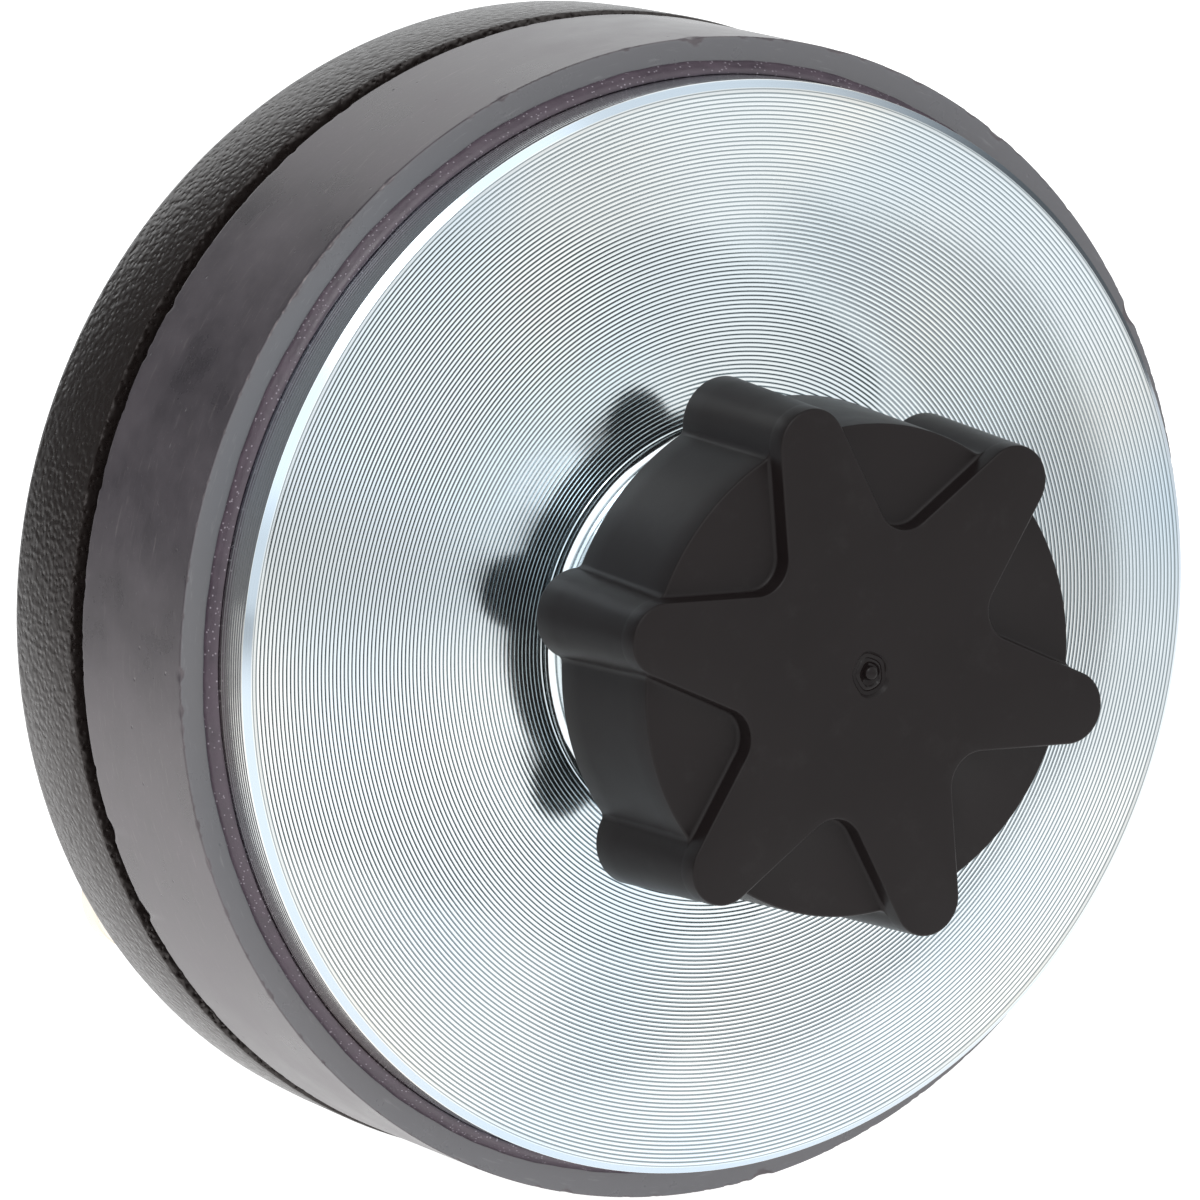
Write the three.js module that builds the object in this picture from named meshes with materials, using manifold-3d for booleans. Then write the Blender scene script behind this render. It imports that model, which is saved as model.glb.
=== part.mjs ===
// A 1 inch screw-on compression driver, the high-frequency motor of a horn loudspeaker, with the
// cap that protects its thread. Millimetres, +Z up. The driver's axis is Y: the throat and the cap
// face -Y, the rear cover faces +Y, and the origin is on the axis in the plane of the back plate's
// front face, where a horn seats. Angles run from +Z towards -X, in degrees.
import * as THREE from 'three';
import * as BufferGeometryUtils from 'three/addons/utils/BufferGeometryUtils.js';
import Module from 'manifold-3d';

const wasm = await Module();
wasm.setup();

// Driving dimensions
const GAP = 0.03;                 // air between two pieces that rest on each other
const PLAY = 0.1;                 // radial clearance of a screw or pin in its hole
const PAST = 1;                   // how far a cutter runs past what it cuts
const ROUND = 40;                 // sides of a large turned piece
const FINE = 28;                  // sides of a turned piece inside the motor
const TERMINAL_SIDES = 20;
const SMALL = 8;                  // sides of a screw, pin or stud
const THREAD_STEPS = 20;          // sides of one turn of a thread

const PLATE_R = 46.9;
const PLATE_T = 5;
const PLATE_EDGE = 0.9;           // chamfer of the back plate's front edge
const PLATE_BORE_R = 16.05;       // hole that the snout is pressed into
const FOOT_RECESS_R = 18.4;       // shallow recess round the snout's foot
const FOOT_RECESS = 0.6;
const SNOUT_SEAT = 4.98;          // floor of the snout's hole
const POLE_R = 21.45;
const POLE_BORE_R = [13.5, 17.6]; // the tapered bore's front and rear
const POLE_CUP_R = 20;            // wider end of the bore, round the phase plug
const POLE_CUP_FLOOR = 23;
const BEAD_FRONT = 4.25;          // adhesive squeezed out round the plate's edge
const BEAD_R = 47.95;

const MAGNET_R = 50;
const MAGNET_BORE_R = 30;
const MAGNET_FRONT = 5.37;
const MAGNET_REAR = 22.34;
const MAGNET_EDGE = 0.5;
const REAR_ADHESIVE_R = 46.5;
const TOP_PLATE_R = 47;
const TOP_PLATE_FRONT = 22.7;
const TOP_PLATE_REAR = 28.4;
const AIR_GAP_R = 22.75;          // wall of the round hole in the top plate
const SLEEVE_T = 0.25;            // copper sleeve on the pole

const THROAT_R = 12.7;            // 1 inch exit
const PITCH = 25.4 / 18;          // 1-3/8"-18 thread
const THREAD_R = 17.42;
const THREAD_DEPTH = 0.764;
const THREAD_START = -3.8;
const THREAD_PLAY = 0.28;         // radial clearance of the cap's thread
const MINOR_PLAY = 0.24;          // the same at the thread's root
const FLANK_PLAY = 0.15;          // axial clearance on each flank
const SNOUT_TIP = -17;
const SNOUT_EDGE = 0.9;           // chamfer of the tip
const SNOUT_BORE_REAR_R = 13.4;
const SNOUT_FOOT = -0.12;         // front face of the foot
const COVE_R = 0.9;               // cove above the foot
const LEDGE = 1.2;                // depth of the screen's ledge inside the tip
const SCREEN_R = 13.5;
const SCREEN_T = 0.3;
const SCREEN_RING_T = 0.7;

const CAP_REAR = -8;
const CAP_FACE = -20.5;
const CAP_EDGE = 0.3;
const CAP_MOUTH = 1.2;            // chamfer at the mouth of the thread
const STAR_FACE = -22.3;
const CAP_REAR_R = 21.4;
const CAP_FACE_R = 20.75;
const STAR_TIP_R = 23.65;
const STAR_ROUND_R = 3.1;         // end of each arm
const STAR_TAPER = 11.5;          // degrees, each side of an arm
const STAR_VALLEY_R = 2.8;        // fillet between two arms
const STAR_ANGLE = 16.3;          // first arm
const STAR_DRAFT = 0.75;          // how much further an arm reaches at the cap's rear edge
const ARMS = 6;
const CAP_CEILING = -18;          // inner face of the cap's front wall
const CAP_THREAD_END = -14.6;     // the bore is plain from here to the ceiling
const LINER_R = 16.4;

const PLUG_TIP = 12;
const PLUG_R = 19.9;              // rim that rests in the pole's cup
const PLUG_STEP_R = 16.8;
const PLUG_REST = 23.05;
const PLUG_CLEARANCE = 0.9;       // between the plug and the diaphragm
const SLIT_T = 1.1;
const SLITS = [[14.6, 9.2], [7.6, 3.6]];   // inner radius at the rear and at the front
const RIB_T = 1.4;

const DOME_CENTRE = -0.2;         // centre of the diaphragm's sphere, on the axis
const DOME_R = 36.8;
const DOME_T = 0.25;
const DOME_EDGE_R = 21.6;
const FORMER_R = [21.95, 22.1];
const FORMER_Y = [23.6, 29.5];
const COIL_R = [22.14, 22.42];
const COIL_Y = [23.7, 27.4];
const ROLL_R = 2.1;               // surround's half-roll
const ROLL_CIRCLE_R = 24.4;
const FLANGE = 29.55;             // front face of the surround's flange
const FLANGE_T = 0.2;
const FLANGE_R = 29.8;
const RING_R = 34;                // rings that hold the flange
const RING_BORE_R = 26.8;
const CARRIER_REAR = 29.5;
const CLAMP_FRONT = 29.8;
const RING_REAR = 31.6;           // rear face of the clamp ring
const RING_SCREW_CIRCLE_R = 31;
const RING_SCREW = { shankR: 1.25, length: 8, headR: 2.4, headT: 1.6 };
const RING_SCREW_ANGLES = [22, 112, 202, 292];
const PIN_R = 1.05;
const PIN_LENGTHS = [6, 1];       // in front of and behind the clamp ring's rear face
const PIN_ANGLES = [0, 180];

const COVER_R = 50.19;
const COVER_FRONT = 24.09;
const COVER_REAR = 49;
const SHOULDER = 36;              // flat ring round the cover's dome
const SHOULDER_INNER = 33.6;
const DOME_INNER = 46.6;          // inside of the dome's flat end
const BOSS_FOOT = 28.9;           // plane where the cover meets the top plate's gasket
const BOSS_R = 3.6;
const GASKET_R = [46, 46.9];
const FOAM_R = 27.5;
const FOAM_FRONT = 42.6;
const HEAD_SEAT = 34.8;           // counterbore floor of the cover screws
const COUNTERBORE_R = 3.4;
const COVER_SCREW = { shankR: 1.55, length: 11, headR: 3, headT: 2 };
const SCREW_CIRCLE_R = 42.5;
const SCREW_ANGLES = [0, 90, 180, 270];

const TERMINAL_ANGLES = { left: 130, right: -130 };
const TERMINAL_CIRCLE_R = 42.2;
const TERMINAL_R = 5.15;
const TERMINAL_EDGE = 0.6;
const BASE_R = 5.6;
const BASE_TOP = 1.2;             // heights above the cover's shoulder
const STUD_R = 1.9;
const STUD_END = -6.2;
const BARREL_FOOT = 1.25;
const BARREL_FLOOR = 2;
const BARREL_TOP = 10.5;
const WIRE_HOLE = 5.1;
const WIRE_HOLE_R = 1.4;
const BUTTON_R = 3.4;
const BUTTON_EDGE = 0.7;
const BUTTON_HOLE_R = 1.2;
const BUTTON_TOP = 13.8;
const BUTTON_FOOT = 5.9;
const BUTTON_TRAVEL = 2.4;
const NUT_R = 3.4;
const NUT = [-5.7, -3.1];
const SPRING = { radius: 2.5, wireR: 0.2, turns: 3, play: 0.25 };
const LEAD_R = 0.4;
const LEAD_ROUTE = [[0, -3.6, -6.2], [0, -3.9, -7], [0.3, -3.9, -8.2], [0, -3.6, -9.6]];

// Materials
function finish(name, color, roughness, metalness) {
  return new THREE.MeshStandardMaterial({ name, color, roughness, metalness });
}
const zinc = finish('zinc_steel', 0xcfd8de, 0.25, 1);
const steel = finish('steel', 0xa9adb0, 0.4, 1);
const ferrite = finish('ferrite', 0x57545a, 0.6, 0);
const adhesive = finish('adhesive', 0x2b2530, 0.5, 0);
const capPlastic = finish('cap_plastic', 0x2b2a2d, 0.4, 0);
const coverPlastic = finish('cover_plastic', 0x4a4748, 0.55, 0);
const ringPlastic = finish('ring_plastic', 0x1d1d1f, 0.5, 0);
const foam = finish('foam', 0x3a3a3a, 1, 0);
const rubber = finish('rubber', 0x1a1a1a, 0.8, 0);
const titanium = finish('titanium', 0x9a9793, 0.35, 1);
const film = finish('film', 0xb8863a, 0.4, 0);
const aluminium = finish('aluminium', 0xc4c6c8, 0.35, 1);
const copper = finish('copper', 0xc0764a, 0.3, 1);
const nickel = finish('terminal_metal', 0xe2d8c4, 0.25, 1);
const blackSteel = finish('black_steel', 0x202022, 0.4, 1);
const redPlastic = finish('red_plastic', 0xa01818, 0.35, 0);
const blackPlastic = finish('black_plastic', 0x161618, 0.35, 0);

// Solids
function closed(geometry) {
  geometry.deleteAttribute('normal');
  geometry.deleteAttribute('uv');
  const merged = BufferGeometryUtils.mergeVertices(geometry, 1e-4);
  const index = Array.from(merged.index.array);
  const faces = [];
  for (let i = 0; i < index.length; i += 3) {
    const [a, b, c] = index.slice(i, i + 3);
    if (a !== b && b !== c && c !== a) faces.push([a, b, c]);
  }
  const at = merged.attributes.position;
  const corner = (k) => new THREE.Vector3().fromBufferAttribute(at, k);
  let volume = 0;
  for (const [a, b, c] of faces) volume += corner(a).dot(corner(b).cross(corner(c)));
  merged.setIndex(faces.flatMap(([a, b, c]) => (volume < 0 ? [a, c, b] : [a, b, c])));
  return merged;
}

function toSolid(geometry) {
  const mesh = closed(geometry);
  return new wasm.Manifold(new wasm.Mesh({
    numProp: 3,
    vertProperties: new Float32Array(mesh.attributes.position.array),
    triVerts: new Uint32Array(mesh.index.array),
  }));
}

function toGeometry(solid) {
  const mesh = solid.getMesh();
  const geometry = new THREE.BufferGeometry();
  geometry.setAttribute('position', new THREE.BufferAttribute(mesh.vertProperties, 3));
  geometry.setIndex(new THREE.BufferAttribute(mesh.triVerts, 1));
  geometry.computeVertexNormals();
  return geometry;
}

// Revolves an outline of [radius, y] points about the Y axis. A ring's outline closes on itself,
// and a disc's starts and ends on the axis.
function turned(outline, sides = ROUND) {
  const points = outline.map(([radius, y]) => new THREE.Vector2(radius, y));
  const onAxis = outline[0][0] === 0 && outline.at(-1)[0] === 0;
  if (!onAxis) points.push(points[0].clone());
  return toSolid(new THREE.LatheGeometry(points, sides));
}

function tube(inner, outer, low, high, sides = ROUND) {
  return turned([[inner, low], [outer, low], [outer, high], [inner, high]], sides);
}

function disc(radius, low, high, sides = ROUND) {
  return turned([[0, low], [radius, low], [radius, high], [0, high]], sides);
}

function box(width, depth, height, x, y, z) {
  return toSolid(new THREE.BoxGeometry(width, depth, height).translate(x, y, z));
}

function tubeAcross(radius, length, y) {
  return toSolid(new THREE.CylinderGeometry(radius, radius, length, SMALL).rotateZ(Math.PI / 2)
    .translate(0, y, 0));
}

// Moves a solid made on the axis out along +Z, then round the axis.
function placed(solid, angle, radius) {
  return solid.translate([0, 0, radius]).rotate([0, -angle, 0]);
}

function holes(angles, circleR, holeR, low, high) {
  return angles.map((angle) => placed(disc(holeR, low, high, SMALL), angle, circleR));
}

function cut(solid, cutters) {
  return cutters.reduce((left, cutter) => left.subtract(cutter), solid);
}

// Points of an arc about [cx, cy], from one angle to another in degrees.
function arc(cx, cy, radius, from, to, steps) {
  return Array.from({ length: steps + 1 }, (_, i) => {
    const turn = THREE.MathUtils.degToRad(from + ((to - from) * i) / steps);
    return [cx + radius * Math.cos(turn), cy + radius * Math.sin(turn)];
  });
}

const group = new THREE.Group();

function part(name, solid, material, parent = group) {
  const mesh = new THREE.Mesh(toGeometry(solid), material.clone());
  mesh.name = name;
  parent.add(mesh);
}

// A frame whose Y axis is parallel to the driver's, at the given angle and radius.
function spoke(angle, radius, y) {
  const turn = new THREE.Group();
  const arm = new THREE.Group();
  turn.rotation.y = -THREE.MathUtils.degToRad(angle);
  arm.position.set(0, y, radius);
  turn.add(arm);
  group.add(turn);
  return arm;
}

// A right-hand screw about Y. The four corners of a tooth lie on a helix each, so its crests stay
// sharp. It is longer than asked for, and what it meets cuts its ends off.
function screw(rootR, crestR, crestWidth, rootWidth, low, high) {
  const flank = (PITCH - crestWidth - rootWidth) / 2;
  const tooth = [
    [-crestWidth / 2 - flank, rootR],
    [-crestWidth / 2, crestR],
    [crestWidth / 2, crestR],
    [crestWidth / 2 + flank, rootR],
  ];
  const rows = [];
  for (let turn = Math.floor(low / PITCH) - 2; turn <= Math.ceil(high / PITCH) + 1; turn += 1) {
    for (const [offset, radius] of tooth) rows.push([turn * PITCH + offset, radius]);
  }
  const positions = [];
  for (let step = 0; step < THREAD_STEPS; step += 1) {
    const share = step / THREAD_STEPS;
    const turn = share * 2 * Math.PI;
    for (const [y, radius] of rows) {
      positions.push(radius * Math.sin(turn), y + share * PITCH, radius * Math.cos(turn));
    }
  }
  const vertex = (step, row) => (
    step < THREAD_STEPS ? step * rows.length + row : row + tooth.length
  );
  const foot = positions.length / 3;
  const head = foot + 1;
  positions.push(0, rows[0][0], 0, 0, rows.at(-1)[0], 0);
  const top = rows.length - 1 - tooth.length;
  const faces = [];
  for (let step = 0; step < THREAD_STEPS; step += 1) {
    for (let row = 0; row < top; row += 1) {
      const [a, b] = [vertex(step, row), vertex(step + 1, row)];
      const [c, d] = [vertex(step + 1, row + 1), vertex(step, row + 1)];
      faces.push(a, b, c, a, c, d);
    }
    faces.push(vertex(step + 1, 0), vertex(step, 0), foot);
    faces.push(vertex(step, top), vertex(step + 1, top), head);
  }
  for (let row = 0; row < tooth.length; row += 1) {
    faces.push(row, row + 1, foot);
    faces.push(top + row + 1, top + row, head);
  }
  const geometry = new THREE.BufferGeometry();
  geometry.setAttribute('position', new THREE.Float32BufferAttribute(positions, 3));
  geometry.setIndex(faces);
  return toSolid(geometry);
}

// Back plate and pole: a flat disc with a shallow recess for the snout's foot, and a pole with a
// tapered bore
function backPlate() {
  const [boreFront, boreRear] = POLE_BORE_R;
  return turned([
    [PLATE_BORE_R, FOOT_RECESS], [FOOT_RECESS_R, FOOT_RECESS], [FOOT_RECESS_R, 0],
    [PLATE_R - PLATE_EDGE, 0], [PLATE_R, PLATE_EDGE], [PLATE_R, PLATE_T],
    [POLE_R, PLATE_T], [POLE_R, TOP_PLATE_REAR],
    [POLE_CUP_R, TOP_PLATE_REAR], [POLE_CUP_R, POLE_CUP_FLOOR],
    [boreRear, POLE_CUP_FLOOR], [boreFront, SNOUT_SEAT], [PLATE_BORE_R, SNOUT_SEAT],
  ]);
}

// Snout: pressed into the back plate, with a cove at its foot and the thread outside
function snout() {
  const bodyR = PLATE_BORE_R - 0.05;
  const ledge = SNOUT_TIP + LEDGE;
  const ledgeR = THROAT_R + 0.9;
  const blank = turned([
    [THROAT_R, ledge], [ledgeR, ledge], [ledgeR, SNOUT_TIP],
    [THREAD_R - SNOUT_EDGE, SNOUT_TIP], [THREAD_R, SNOUT_TIP + SNOUT_EDGE],
    ...arc(THREAD_R + COVE_R, SNOUT_FOOT - COVE_R, COVE_R, 180, 90, 3),
    [THREAD_R + COVE_R, FOOT_RECESS - GAP], [bodyR, FOOT_RECESS - GAP],
    [bodyR, SNOUT_SEAT - GAP], [SNOUT_BORE_REAR_R, SNOUT_SEAT - GAP],
  ]);
  const rootR = THREAD_R - THREAD_DEPTH;
  const thread = screw(rootR, THREAD_R, PITCH / 8, PITCH / 4, SNOUT_TIP, THREAD_START);
  const air = tube(rootR - PAST, THREAD_R + PAST, SNOUT_TIP - PAST, THREAD_START);
  return blank.subtract(air.subtract(thread));
}

// Outline [x, z] of the cap's star, grown by a margin all round
function starOutline(margin) {
  const endR = STAR_ROUND_R + margin;
  const valleyR = STAR_VALLEY_R - margin;
  const endCentre = STAR_TIP_R - STAR_ROUND_R;
  const half = 180 / ARMS;
  const taper = THREE.MathUtils.degToRad(STAR_TAPER);
  const valleyCentre = (endCentre * Math.sin(taper) + endR + valleyR)
    / Math.sin(taper + THREE.MathUtils.degToRad(half));
  const [valleyX, valleyY] = arc(0, 0, valleyCentre, half, half, 1)[0];
  const arm = [
    ...arc(endCentre, 0, endR, STAR_TAPER - 90, 90 - STAR_TAPER, 6),
    ...arc(valleyX, valleyY, valleyR, 270 - STAR_TAPER, 2 * half + 90 + STAR_TAPER, 4),
  ];
  const outline = [];
  for (let k = 0; k < ARMS; k += 1) {
    const turn = THREE.MathUtils.degToRad(STAR_ANGLE + k * 2 * half);
    for (const [along, across] of arm) {
      const radius = Math.hypot(along, across);
      const angle = turn + Math.atan2(across, along);
      outline.push(new THREE.Vector2(-radius * Math.sin(angle), radius * Math.cos(angle)));
    }
  }
  return outline;
}

// A closed solid between two outlines with the same number of points
function loft(lowOutline, lowY, highOutline, highY) {
  const count = lowOutline.length;
  const positions = [];
  lowOutline.forEach((point) => positions.push(point.x, lowY, point.y));
  highOutline.forEach((point) => positions.push(point.x, highY, point.y));
  const faces = [];
  for (let i = 0; i < count; i += 1) {
    const next = (i + 1) % count;
    faces.push(i, i + count, next, next, i + count, next + count);
  }
  for (const [a, b, c] of THREE.ShapeUtils.triangulateShape(lowOutline, [])) {
    faces.push(a, b, c, a + count, c + count, b + count);
  }
  const geometry = new THREE.BufferGeometry();
  geometry.setAttribute('position', new THREE.Float32BufferAttribute(positions, 3));
  geometry.setIndex(faces);
  return toSolid(geometry);
}

// Thread cap: a cup with six grip arms, raised as a star on its face, and a thread inside
function cap() {
  const cup = turned([
    [0, CAP_FACE], [CAP_FACE_R - CAP_EDGE, CAP_FACE], [CAP_FACE_R, CAP_FACE + CAP_EDGE],
    [CAP_REAR_R, CAP_REAR], [0, CAP_REAR],
  ]);
  const star = loft(starOutline(0), STAR_FACE, starOutline(STAR_DRAFT), CAP_REAR);
  const minorR = THREAD_R - THREAD_DEPTH + MINOR_PLAY;
  const grooveR = THREAD_R + THREAD_PLAY + 0.05;
  const slope = Math.tan(Math.PI / 6);
  const grooveWidth = PITCH / 8 - 2 * slope * (grooveR - THREAD_R) + 2 * FLANK_PLAY;
  const rootR = minorR - PLAY;
  const rootWidth = PITCH - grooveWidth - 2 * slope * (grooveR - rootR);
  const groove = screw(rootR, grooveR, grooveWidth, rootWidth, CAP_THREAD_END, CAP_REAR)
    .intersect(disc(grooveR + PAST, CAP_THREAD_END - 0.4, CAP_REAR + PAST));
  const mouth = turned([
    [0, CAP_REAR - CAP_MOUTH], [minorR, CAP_REAR - CAP_MOUTH], [minorR + CAP_MOUTH, CAP_REAR],
    [minorR + CAP_MOUTH, CAP_REAR + PAST], [0, CAP_REAR + PAST],
  ]);
  return cut(cup.add(star), [
    disc(minorR, CAP_CEILING, CAP_REAR + PAST),
    disc(grooveR + PLAY, CAP_CEILING, CAP_THREAD_END),
    groove,
    mouth,
  ]);
}

function magnet() {
  return turned([
    [MAGNET_BORE_R, MAGNET_FRONT], [MAGNET_R - MAGNET_EDGE, MAGNET_FRONT],
    [MAGNET_R, MAGNET_FRONT + MAGNET_EDGE], [MAGNET_R, MAGNET_REAR - MAGNET_EDGE],
    [MAGNET_R - MAGNET_EDGE, MAGNET_REAR], [MAGNET_BORE_R, MAGNET_REAR],
  ]);
}

// Adhesive between back plate and magnet, squeezed out into a bead round the plate's edge
function frontAdhesive() {
  const [inner, plateR] = [MAGNET_BORE_R + 1, PLATE_R + 0.05];
  return turned([
    [inner, PLATE_T + GAP], [plateR, PLATE_T + GAP], [plateR, BEAD_FRONT],
    [BEAD_R, MAGNET_FRONT - GAP], [inner, MAGNET_FRONT - GAP],
  ]);
}

function topPlate() {
  const plate = tube(AIR_GAP_R, TOP_PLATE_R, TOP_PLATE_FRONT, TOP_PLATE_REAR);
  const [low, high] = [TOP_PLATE_FRONT - PAST, TOP_PLATE_REAR + PAST];
  return cut(plate, [
    ...holes(SCREW_ANGLES, SCREW_CIRCLE_R, COVER_SCREW.shankR + PLAY, low, high),
    ...holes(RING_SCREW_ANGLES, RING_SCREW_CIRCLE_R, RING_SCREW.shankR + PLAY, low, high),
    ...holes(PIN_ANGLES, RING_SCREW_CIRCLE_R, PIN_R + PLAY, low, high),
  ]);
}

// Phase plug: three rings on four ribs, with a slit between each two
function phasePlug() {
  const face = DOME_R - PLUG_CLEARANCE;
  const edge = THREE.MathUtils.radToDeg(Math.acos(PLUG_R / face));
  const body = turned([
    [0, PLUG_TIP], [PLUG_STEP_R, PLUG_REST], [PLUG_R, PLUG_REST],
    ...arc(0, DOME_CENTRE, face, edge, 86, 3), [0, DOME_CENTRE + face],
  ], FINE);
  const [front, rear] = [PLUG_TIP - PAST, DOME_CENTRE + face + PAST];
  const ribs = [0, 90].map((angle) => (
    box(RIB_T, 6, 44, 0, 24, 0).rotate([0, angle, 0])
  ));
  const slits = SLITS.map(([rearR, frontR]) => cut(
    turned([[rearR, rear], [rearR + SLIT_T, rear], [frontR + SLIT_T, front], [frontR, front]], FINE),
    ribs,
  ));
  return cut(body, slits);
}

function domeShell() {
  const edge = THREE.MathUtils.radToDeg(Math.acos(DOME_EDGE_R / DOME_R));
  const outer = arc(0, DOME_CENTRE, DOME_R + DOME_T, edge, 86, 4);
  const inner = arc(0, DOME_CENTRE, DOME_R, edge, 86, 4);
  return turned([
    [0, DOME_CENTRE + DOME_R], ...inner.reverse(), ...outer, [0, DOME_CENTRE + DOME_R + DOME_T],
  ], FINE);
}

// Surround: one half-roll between the dome and the clamped flange
function surround() {
  const rear = FLANGE + FLANGE_T;
  return turned([
    ...arc(ROLL_CIRCLE_R, FLANGE, ROLL_R, 180, 0, 4), [FLANGE_R, FLANGE], [FLANGE_R, rear],
    ...arc(ROLL_CIRCLE_R, rear, ROLL_R + 0.15, 0, 180, 4),
  ], FINE);
}

function diaphragmRing(low, high) {
  const [front, rear] = [low - PAST, high + PAST];
  return cut(tube(RING_BORE_R, RING_R, low, high, FINE), [
    ...holes(RING_SCREW_ANGLES, RING_SCREW_CIRCLE_R, RING_SCREW.shankR + 0.25, front, rear),
    ...holes(PIN_ANGLES, RING_SCREW_CIRCLE_R, PIN_R + PLAY, front, rear),
  ]);
}

function panScrew({ shankR, length, headR, headT }) {
  const profile = turned([
    [0, -length], [shankR, -length], [shankR, 0], [headR, 0], [headR, headT * 0.55],
    [headR * 0.7, headT * 0.92], [0, headT],
  ], SMALL);
  const slots = [0, 90].map((angle) => box(headT * 0.35, headT, headR * 1.1, 0, headT, 0)
    .rotate([0, angle, 0]));
  return cut(profile, slots);
}

// Rear cover: a rim round the top plate, a flat shoulder, and a dome over the diaphragm
function cover() {
  const skirtInner = COVER_R - 2.44;
  const shell = turned([
    [0, COVER_REAR], [29.6, COVER_REAR], ...arc(29.8, 46, 3, 60, 15, 1), [35.2, 37],
    [36.2, SHOULDER], [48.1, SHOULDER], [49.4, 35.5], [49.9, 34.3], [COVER_R, COVER_FRONT],
    [skirtInner, COVER_FRONT], [skirtInner, BOSS_FOOT], [45.9, BOSS_FOOT],
    [45.9, SHOULDER_INNER], [32.9, SHOULDER_INNER], [30.4, 45.2], [29, DOME_INNER],
    [0, DOME_INNER],
  ]);
  const bosses = SCREW_ANGLES.map((angle) => placed(
    disc(BOSS_R, BOSS_FOOT, SHOULDER_INNER + PAST, SMALL), angle, SCREW_CIRCLE_R,
  ));
  const terminals = Object.values(TERMINAL_ANGLES);
  const [inside, outside] = [SHOULDER_INNER - PAST, SHOULDER + PAST];
  const shankR = COVER_SCREW.shankR + 2 * PLAY;
  return cut(bosses.reduce((solid, boss) => solid.add(boss), shell), [
    ...holes(SCREW_ANGLES, SCREW_CIRCLE_R, shankR, BOSS_FOOT - PAST, outside),
    ...holes(SCREW_ANGLES, SCREW_CIRCLE_R, COUNTERBORE_R, HEAD_SEAT, outside),
    ...holes(terminals, TERMINAL_CIRCLE_R, STUD_R + 2 * PLAY, inside, outside),
  ]);
}

// Push terminal: heights above the cover's shoulder
function terminalBarrel() {
  const boreR = BUTTON_R + 0.15;
  const shell = turned([
    [0, BARREL_FLOOR], [boreR, BARREL_FLOOR], [boreR, BARREL_TOP],
    [TERMINAL_R - TERMINAL_EDGE, BARREL_TOP], [TERMINAL_R, BARREL_TOP - TERMINAL_EDGE],
    [TERMINAL_R, BARREL_FOOT], [STUD_R, BARREL_FOOT], [STUD_R, STUD_END], [0, STUD_END],
  ], TERMINAL_SIDES);
  return shell.subtract(tubeAcross(WIRE_HOLE_R, 3 * TERMINAL_R, WIRE_HOLE));
}

function terminalButton() {
  const stem = turned([
    [0, BUTTON_FOOT], [BUTTON_R, BUTTON_FOOT], [BUTTON_R, BUTTON_TOP - BUTTON_EDGE],
    [BUTTON_R - BUTTON_EDGE, BUTTON_TOP], [0, BUTTON_TOP],
  ], TERMINAL_SIDES);
  return stem.subtract(tubeAcross(BUTTON_HOLE_R, 3 * TERMINAL_R, WIRE_HOLE + BUTTON_TRAVEL));
}

// A round section with one side left out, because its outline closes on itself
function wireSection(radius, sides) {
  const last = 360 - 360 / sides;
  return new THREE.Shape(arc(0, 0, radius, 0, last, sides - 1).map(([x, y]) => new THREE.Vector2(x, y)));
}

function spring({ radius, wireR, turns, play }) {
  const [low, high] = [BARREL_FLOOR + play, BUTTON_FOOT - play];
  class Helix extends THREE.Curve {
    getPoint(share, target = new THREE.Vector3()) {
      const turn = share * turns * 2 * Math.PI;
      const y = low + share * (high - low);
      return target.set(radius * Math.cos(turn), y, radius * Math.sin(turn));
    }
  }
  return toSolid(new THREE.ExtrudeGeometry(wireSection(wireR, 6), {
    extrudePath: new Helix(), steps: turns * 10, bevelEnabled: false,
  }));
}

function wire(points, radius) {
  const route = new THREE.CatmullRomCurve3(points.map((point) => new THREE.Vector3(...point)));
  return toSolid(new THREE.ExtrudeGeometry(wireSection(radius, 8), {
    extrudePath: route, steps: 10, bevelEnabled: false,
  }));
}

// Motor
part('back_plate', backPlate(), zinc);
part('throat_snout', snout(), zinc);
part('front_adhesive', frontAdhesive(), adhesive);
part('magnet_ring', magnet(), ferrite);
part('rear_adhesive',
  tube(MAGNET_BORE_R + 1, REAR_ADHESIVE_R, MAGNET_REAR + GAP, TOP_PLATE_FRONT - GAP), adhesive);
part('top_plate', topPlate(), steel);
part('pole_sleeve',
  tube(POLE_R + 0.05, POLE_R + 0.05 + SLEEVE_T, TOP_PLATE_FRONT, TOP_PLATE_REAR), copper);
part('phase_plug', phasePlug(), ringPlastic);

// Diaphragm
part('diaphragm_dome', domeShell(), titanium);
part('coil_former', tube(...FORMER_R, ...FORMER_Y, FINE), film);
part('voice_coil', tube(...COIL_R, ...COIL_Y, FINE), copper);
part('surround', surround(), film);
part('diaphragm_ring', diaphragmRing(TOP_PLATE_REAR + GAP, CARRIER_REAR), aluminium);
part('clamp_ring', diaphragmRing(CLAMP_FRONT, RING_REAR), ringPlastic);
PIN_ANGLES.forEach((angle, k) => {
  const [front, rear] = PIN_LENGTHS;
  part(`locating_pin_${k + 1}`, disc(PIN_R, -front, rear, SMALL), steel,
    spoke(angle, RING_SCREW_CIRCLE_R, RING_REAR));
});
RING_SCREW_ANGLES.forEach((angle, k) => {
  part(`ring_screw_${k + 1}`, panScrew(RING_SCREW), steel,
    spoke(angle, RING_SCREW_CIRCLE_R, RING_REAR + GAP));
});

// Throat screen and its ring, in the snout's tip
const SCREEN_FRONT = SNOUT_TIP + LEDGE - SCREEN_T - 0.05;
part('throat_screen', disc(SCREEN_R, SCREEN_FRONT, SCREEN_FRONT + SCREEN_T, FINE), steel);
part('screen_ring',
  tube(THROAT_R, SCREEN_R, SCREEN_FRONT - 0.05 - SCREEN_RING_T, SCREEN_FRONT - 0.05, FINE), blackSteel);

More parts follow.
